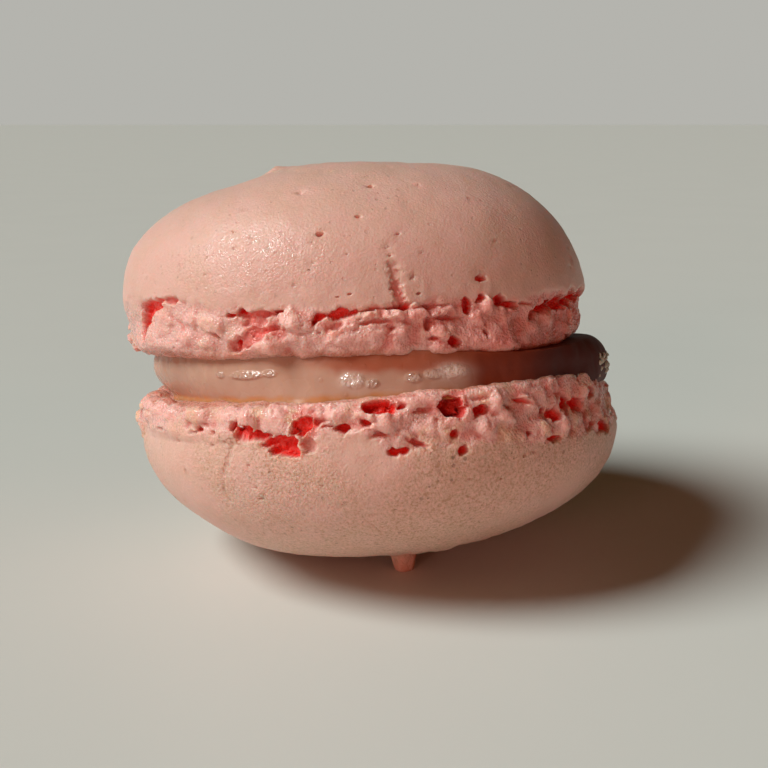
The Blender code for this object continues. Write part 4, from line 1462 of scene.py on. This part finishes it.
def filling_material(settings):
    """Wet, slightly clear cream, glossy only in its rippled patches."""
    material, nodes = new_material("Wet cream")
    place = nodes.place()
    right = nodes.read("rightward")
    wet = nodes.read("wet")
    grain = nodes.grain(place, 0.5 * MM, 1.6 * MM, 0.12)
    duller = nodes.ramp(right, 0.3, 0.7, 0.0, 0.35)
    shine = nodes.sum(nodes.ramp(grain["Mottle"], 0.3, 0.7, 0.22, 0.34), duller)
    height = nodes.times(nodes.sum(grain["Height"], grain["Pores"]), 0.2)
    choppy = nodes.times(nodes.noise(place, 0.28 * MM, detail=1.0), nodes.ramp(wet, 0.1, 0.6, 0.0, 2.4))
    normal = nodes.bump(nodes.sum(height, choppy), 0.7, 0.16 * MM)
    nodes.set_shader(
        Base_Color=cream_tone(settings, nodes, place, right),
        Roughness=nodes.times(shine, nodes.ramp(wet, 0.15, 0.5, 1.0, 0.25)),
        Normal=normal,
        Subsurface_Weight=0.55,
        Subsurface_Radius=(1.0, 0.5, 0.3),
        Subsurface_Scale=1.5 * MM,
        Specular_IOR_Level=0.3,
        Coat_Weight=nodes.ramp(wet, 0.2, 0.5),
        Coat_Normal=normal,
        Coat_Roughness=0.06,
        Coat_IOR=1.8,
    )
    return material


def crumb_material():
    """Dry crumbs of froth, their pale colour dulled to grey as painted shade."""
    material, nodes = new_material("Dry crumb")
    grain = nodes.grain(nodes.place(), 0.15 * MM, 1.0 * MM, 0.14)
    nodes.set_shader(
        Base_Color=nodes.mix(grain["Height"], SHADED_PALE_CRUMB, SHADED_ROSY_CRUMB),
        Roughness=0.6,
        Normal=nodes.bump(grain["Height"], 0.6, 0.06 * MM),
        Subsurface_Weight=0.3,
        Subsurface_Scale=0.6 * MM,
    )
    return material


def table_material(settings):
    """A pale, matt table top with a faint unevenness."""
    material, nodes = new_material("Pale table top")
    faint = tinted(settings.table_colour, (0.96, 0.96, 0.96))
    surface = nodes.mix(nodes.noise(nodes.place(), 30 * MM), settings.table_colour, faint)
    nodes.set_shader(Base_Color=surface, Roughness=0.55)
    return material


# ---------------- the stage


def make_table(settings):
    """The table top that the macaron stands on."""
    bm = bmesh.new()
    bmesh.ops.create_grid(bm, x_segments=1, y_segments=1, size=TABLE_REACH)
    mesh = mesh_from(bm, "table_top")
    mesh.materials.append(table_material(settings))
    table = bpy.data.objects.new("table_top", mesh)
    bpy.context.scene.collection.objects.link(table)


def make_lights(settings):
    """A broad light from the upper left and two weak, low ones, aimed at the middle of the macaron."""
    middle = Vector((CAD_BOX[0] + CAD_BOX[1]) / 2)
    for name, strength, tint, softness, toward in (
        ("key_light", settings.key_strength, (0.94, 1.0, 0.98), settings.key_softness, (-0.94, -0.36, 0.97)),
        ("bounce_light", settings.bounce_strength, (1.0, 0.45, 0.35), BOUNCE_SOFTNESS, (-0.45, -0.85, 0.16)),
        ("glow_light", settings.glow_strength, (1.0, 0.2, 0.1), GLOW_SOFTNESS, (0.7, -0.7, 0.2)),
    ):
        light = bpy.data.lights.new(name, "SUN")
        light.energy = strength
        light.color = tint
        light.angle = softness
        lamp = add_aimed(name, light, middle + Vector(toward).normalized() * LAMP_DISTANCE, middle)
        lamp.visible_glossy = name == "key_light"


def make_surroundings(settings):
    """Faint, warm surroundings, with a low pale wall behind the table's edge."""
    world = bpy.data.worlds.new("soft_surroundings")
    world.use_nodes = True
    nodes = Nodes(world.node_tree)
    direction = nodes.add("ShaderNodeTexCoord").outputs["Generated"]
    toward = nodes.add("ShaderNodeSeparateXYZ", {0: direction}).outputs
    low = nodes.ramp(toward["Z"], 0.10, 0.15, 1.0, 0.0)
    wall = nodes.times(low, nodes.ramp(toward["Y"], 0.75, 0.9))
    strength = nodes.ramp(wall, 0.0, 1.0, settings.fill_strength, settings.horizon_strength)
    back = world.node_tree.nodes["Background"]
    nodes.put(back, "Strength", strength)
    nodes.put(back, "Color", nodes.mix(wall, WARM_SHADE, PALE_WALL))
    bpy.context.scene.world = world


def make_camera(settings):
    """The camera in front of the macaron, a little above it."""
    aim = (CAD_BOX[0] + CAD_BOX[1]) / 2 + CAMERA_AIM
    pitch = settings.camera_pitch
    back = Vector((0, -math.cos(pitch), math.sin(pitch)))
    lens = bpy.data.cameras.new("camera")
    lens.lens = CAMERA_LENS
    lens.clip_start = 5 * MM
    lens.clip_end = 10
    camera = add_aimed("camera", lens, aim + back * settings.camera_distance, aim)
    bpy.context.scene.camera = camera
    bpy.context.scene.view_settings.view_transform = "Standard"


def add_aimed(name, data, place, aim):
    """A lamp or a camera at a place, turned towards what it is aimed at."""
    made = bpy.data.objects.new(name, data)
    made.location = place
    made.rotation_euler = (aim - place).to_track_quat("-Z", "Y").to_euler()
    bpy.context.scene.collection.objects.link(made)
    return made


# ---------------- operators


class MACARON_OT_upper_shell(bpy.types.Operator):
    """Build the upper shell, with its cracked, frothy foot"""

    bl_idname = "macaron.upper_shell"
    bl_label = "Upper Shell"

    def execute(self, context):
        settings = context.scene.macaron.meringue
        make_shell(UPPER, meringue_material(settings), settings)
        return {"FINISHED"}


class MACARON_OT_lower_shell(bpy.types.Operator):
    """Build the lower shell, upside down and with the piping's nub"""

    bl_idname = "macaron.lower_shell"
    bl_label = "Lower Shell"

    def execute(self, context):
        settings = context.scene.macaron.meringue
        make_shell(LOWER, meringue_material(settings), settings)
        return {"FINISHED"}


class MACARON_OT_filling(bpy.types.Operator):
    """Build the wet disc of filling between the shells"""

    bl_idname = "macaron.filling"
    bl_label = "Filling"

    def execute(self, context):
        settings = context.scene.macaron.filling
        make_filling(filling_material(settings), settings)
        return {"FINISHED"}


class MACARON_OT_crumbs(bpy.types.Operator):
    """Scatter crumbs of froth on the edge of the filling"""

    bl_idname = "macaron.crumbs"
    bl_label = "Crumbs"

    def execute(self, context):
        make_crumbs(crumb_material(), context.scene.macaron.filling)
        return {"FINISHED"}


class MACARON_OT_stage(bpy.types.Operator):
    """Set the table, the lights and the camera"""

    bl_idname = "macaron.stage"
    bl_label = "Stage"

    def execute(self, context):
        settings = context.scene.macaron.stage
        make_table(settings)
        make_lights(settings)
        make_surroundings(settings)
        make_camera(settings)
        return {"FINISHED"}


class MACARON_PT_baker(bpy.types.Panel):
    """Lists the macaron's pieces and their settings"""

    bl_idname = "MACARON_PT_baker"
    bl_label = "Macaron"
    bl_space_type = "VIEW_3D"
    bl_region_type = "UI"
    bl_category = "Macaron"

    def draw(self, context):
        for operator in OPERATORS:
            self.layout.operator(operator.bl_idname)
        macaron = context.scene.macaron
        for group in (macaron.meringue, macaron.filling, macaron.stage):
            box = self.layout.box()
            for name in group.__annotations__:
                box.prop(group, name)


OPERATORS = (
    MACARON_OT_upper_shell,
    MACARON_OT_lower_shell,
    MACARON_OT_filling,
    MACARON_OT_crumbs,
    MACARON_OT_stage,
)
CLASSES = (MeringueSettings, FillingSettings, StageSettings, MacaronSettings, *OPERATORS, MACARON_PT_baker)


def register():
    for cls in CLASSES:
        bpy.utils.register_class(cls)
    bpy.types.Scene.macaron = PointerProperty(type=MacaronSettings)


def unregister():
    del bpy.types.Scene.macaron
    for cls in reversed(CLASSES):
        bpy.utils.unregister_class(cls)


def main():
    register()
    bpy.ops.macaron.upper_shell()
    bpy.ops.macaron.lower_shell()
    bpy.ops.macaron.filling()
    bpy.ops.macaron.crumbs()
    bpy.ops.macaron.stage()


if __name__ == "__main__":
    main()
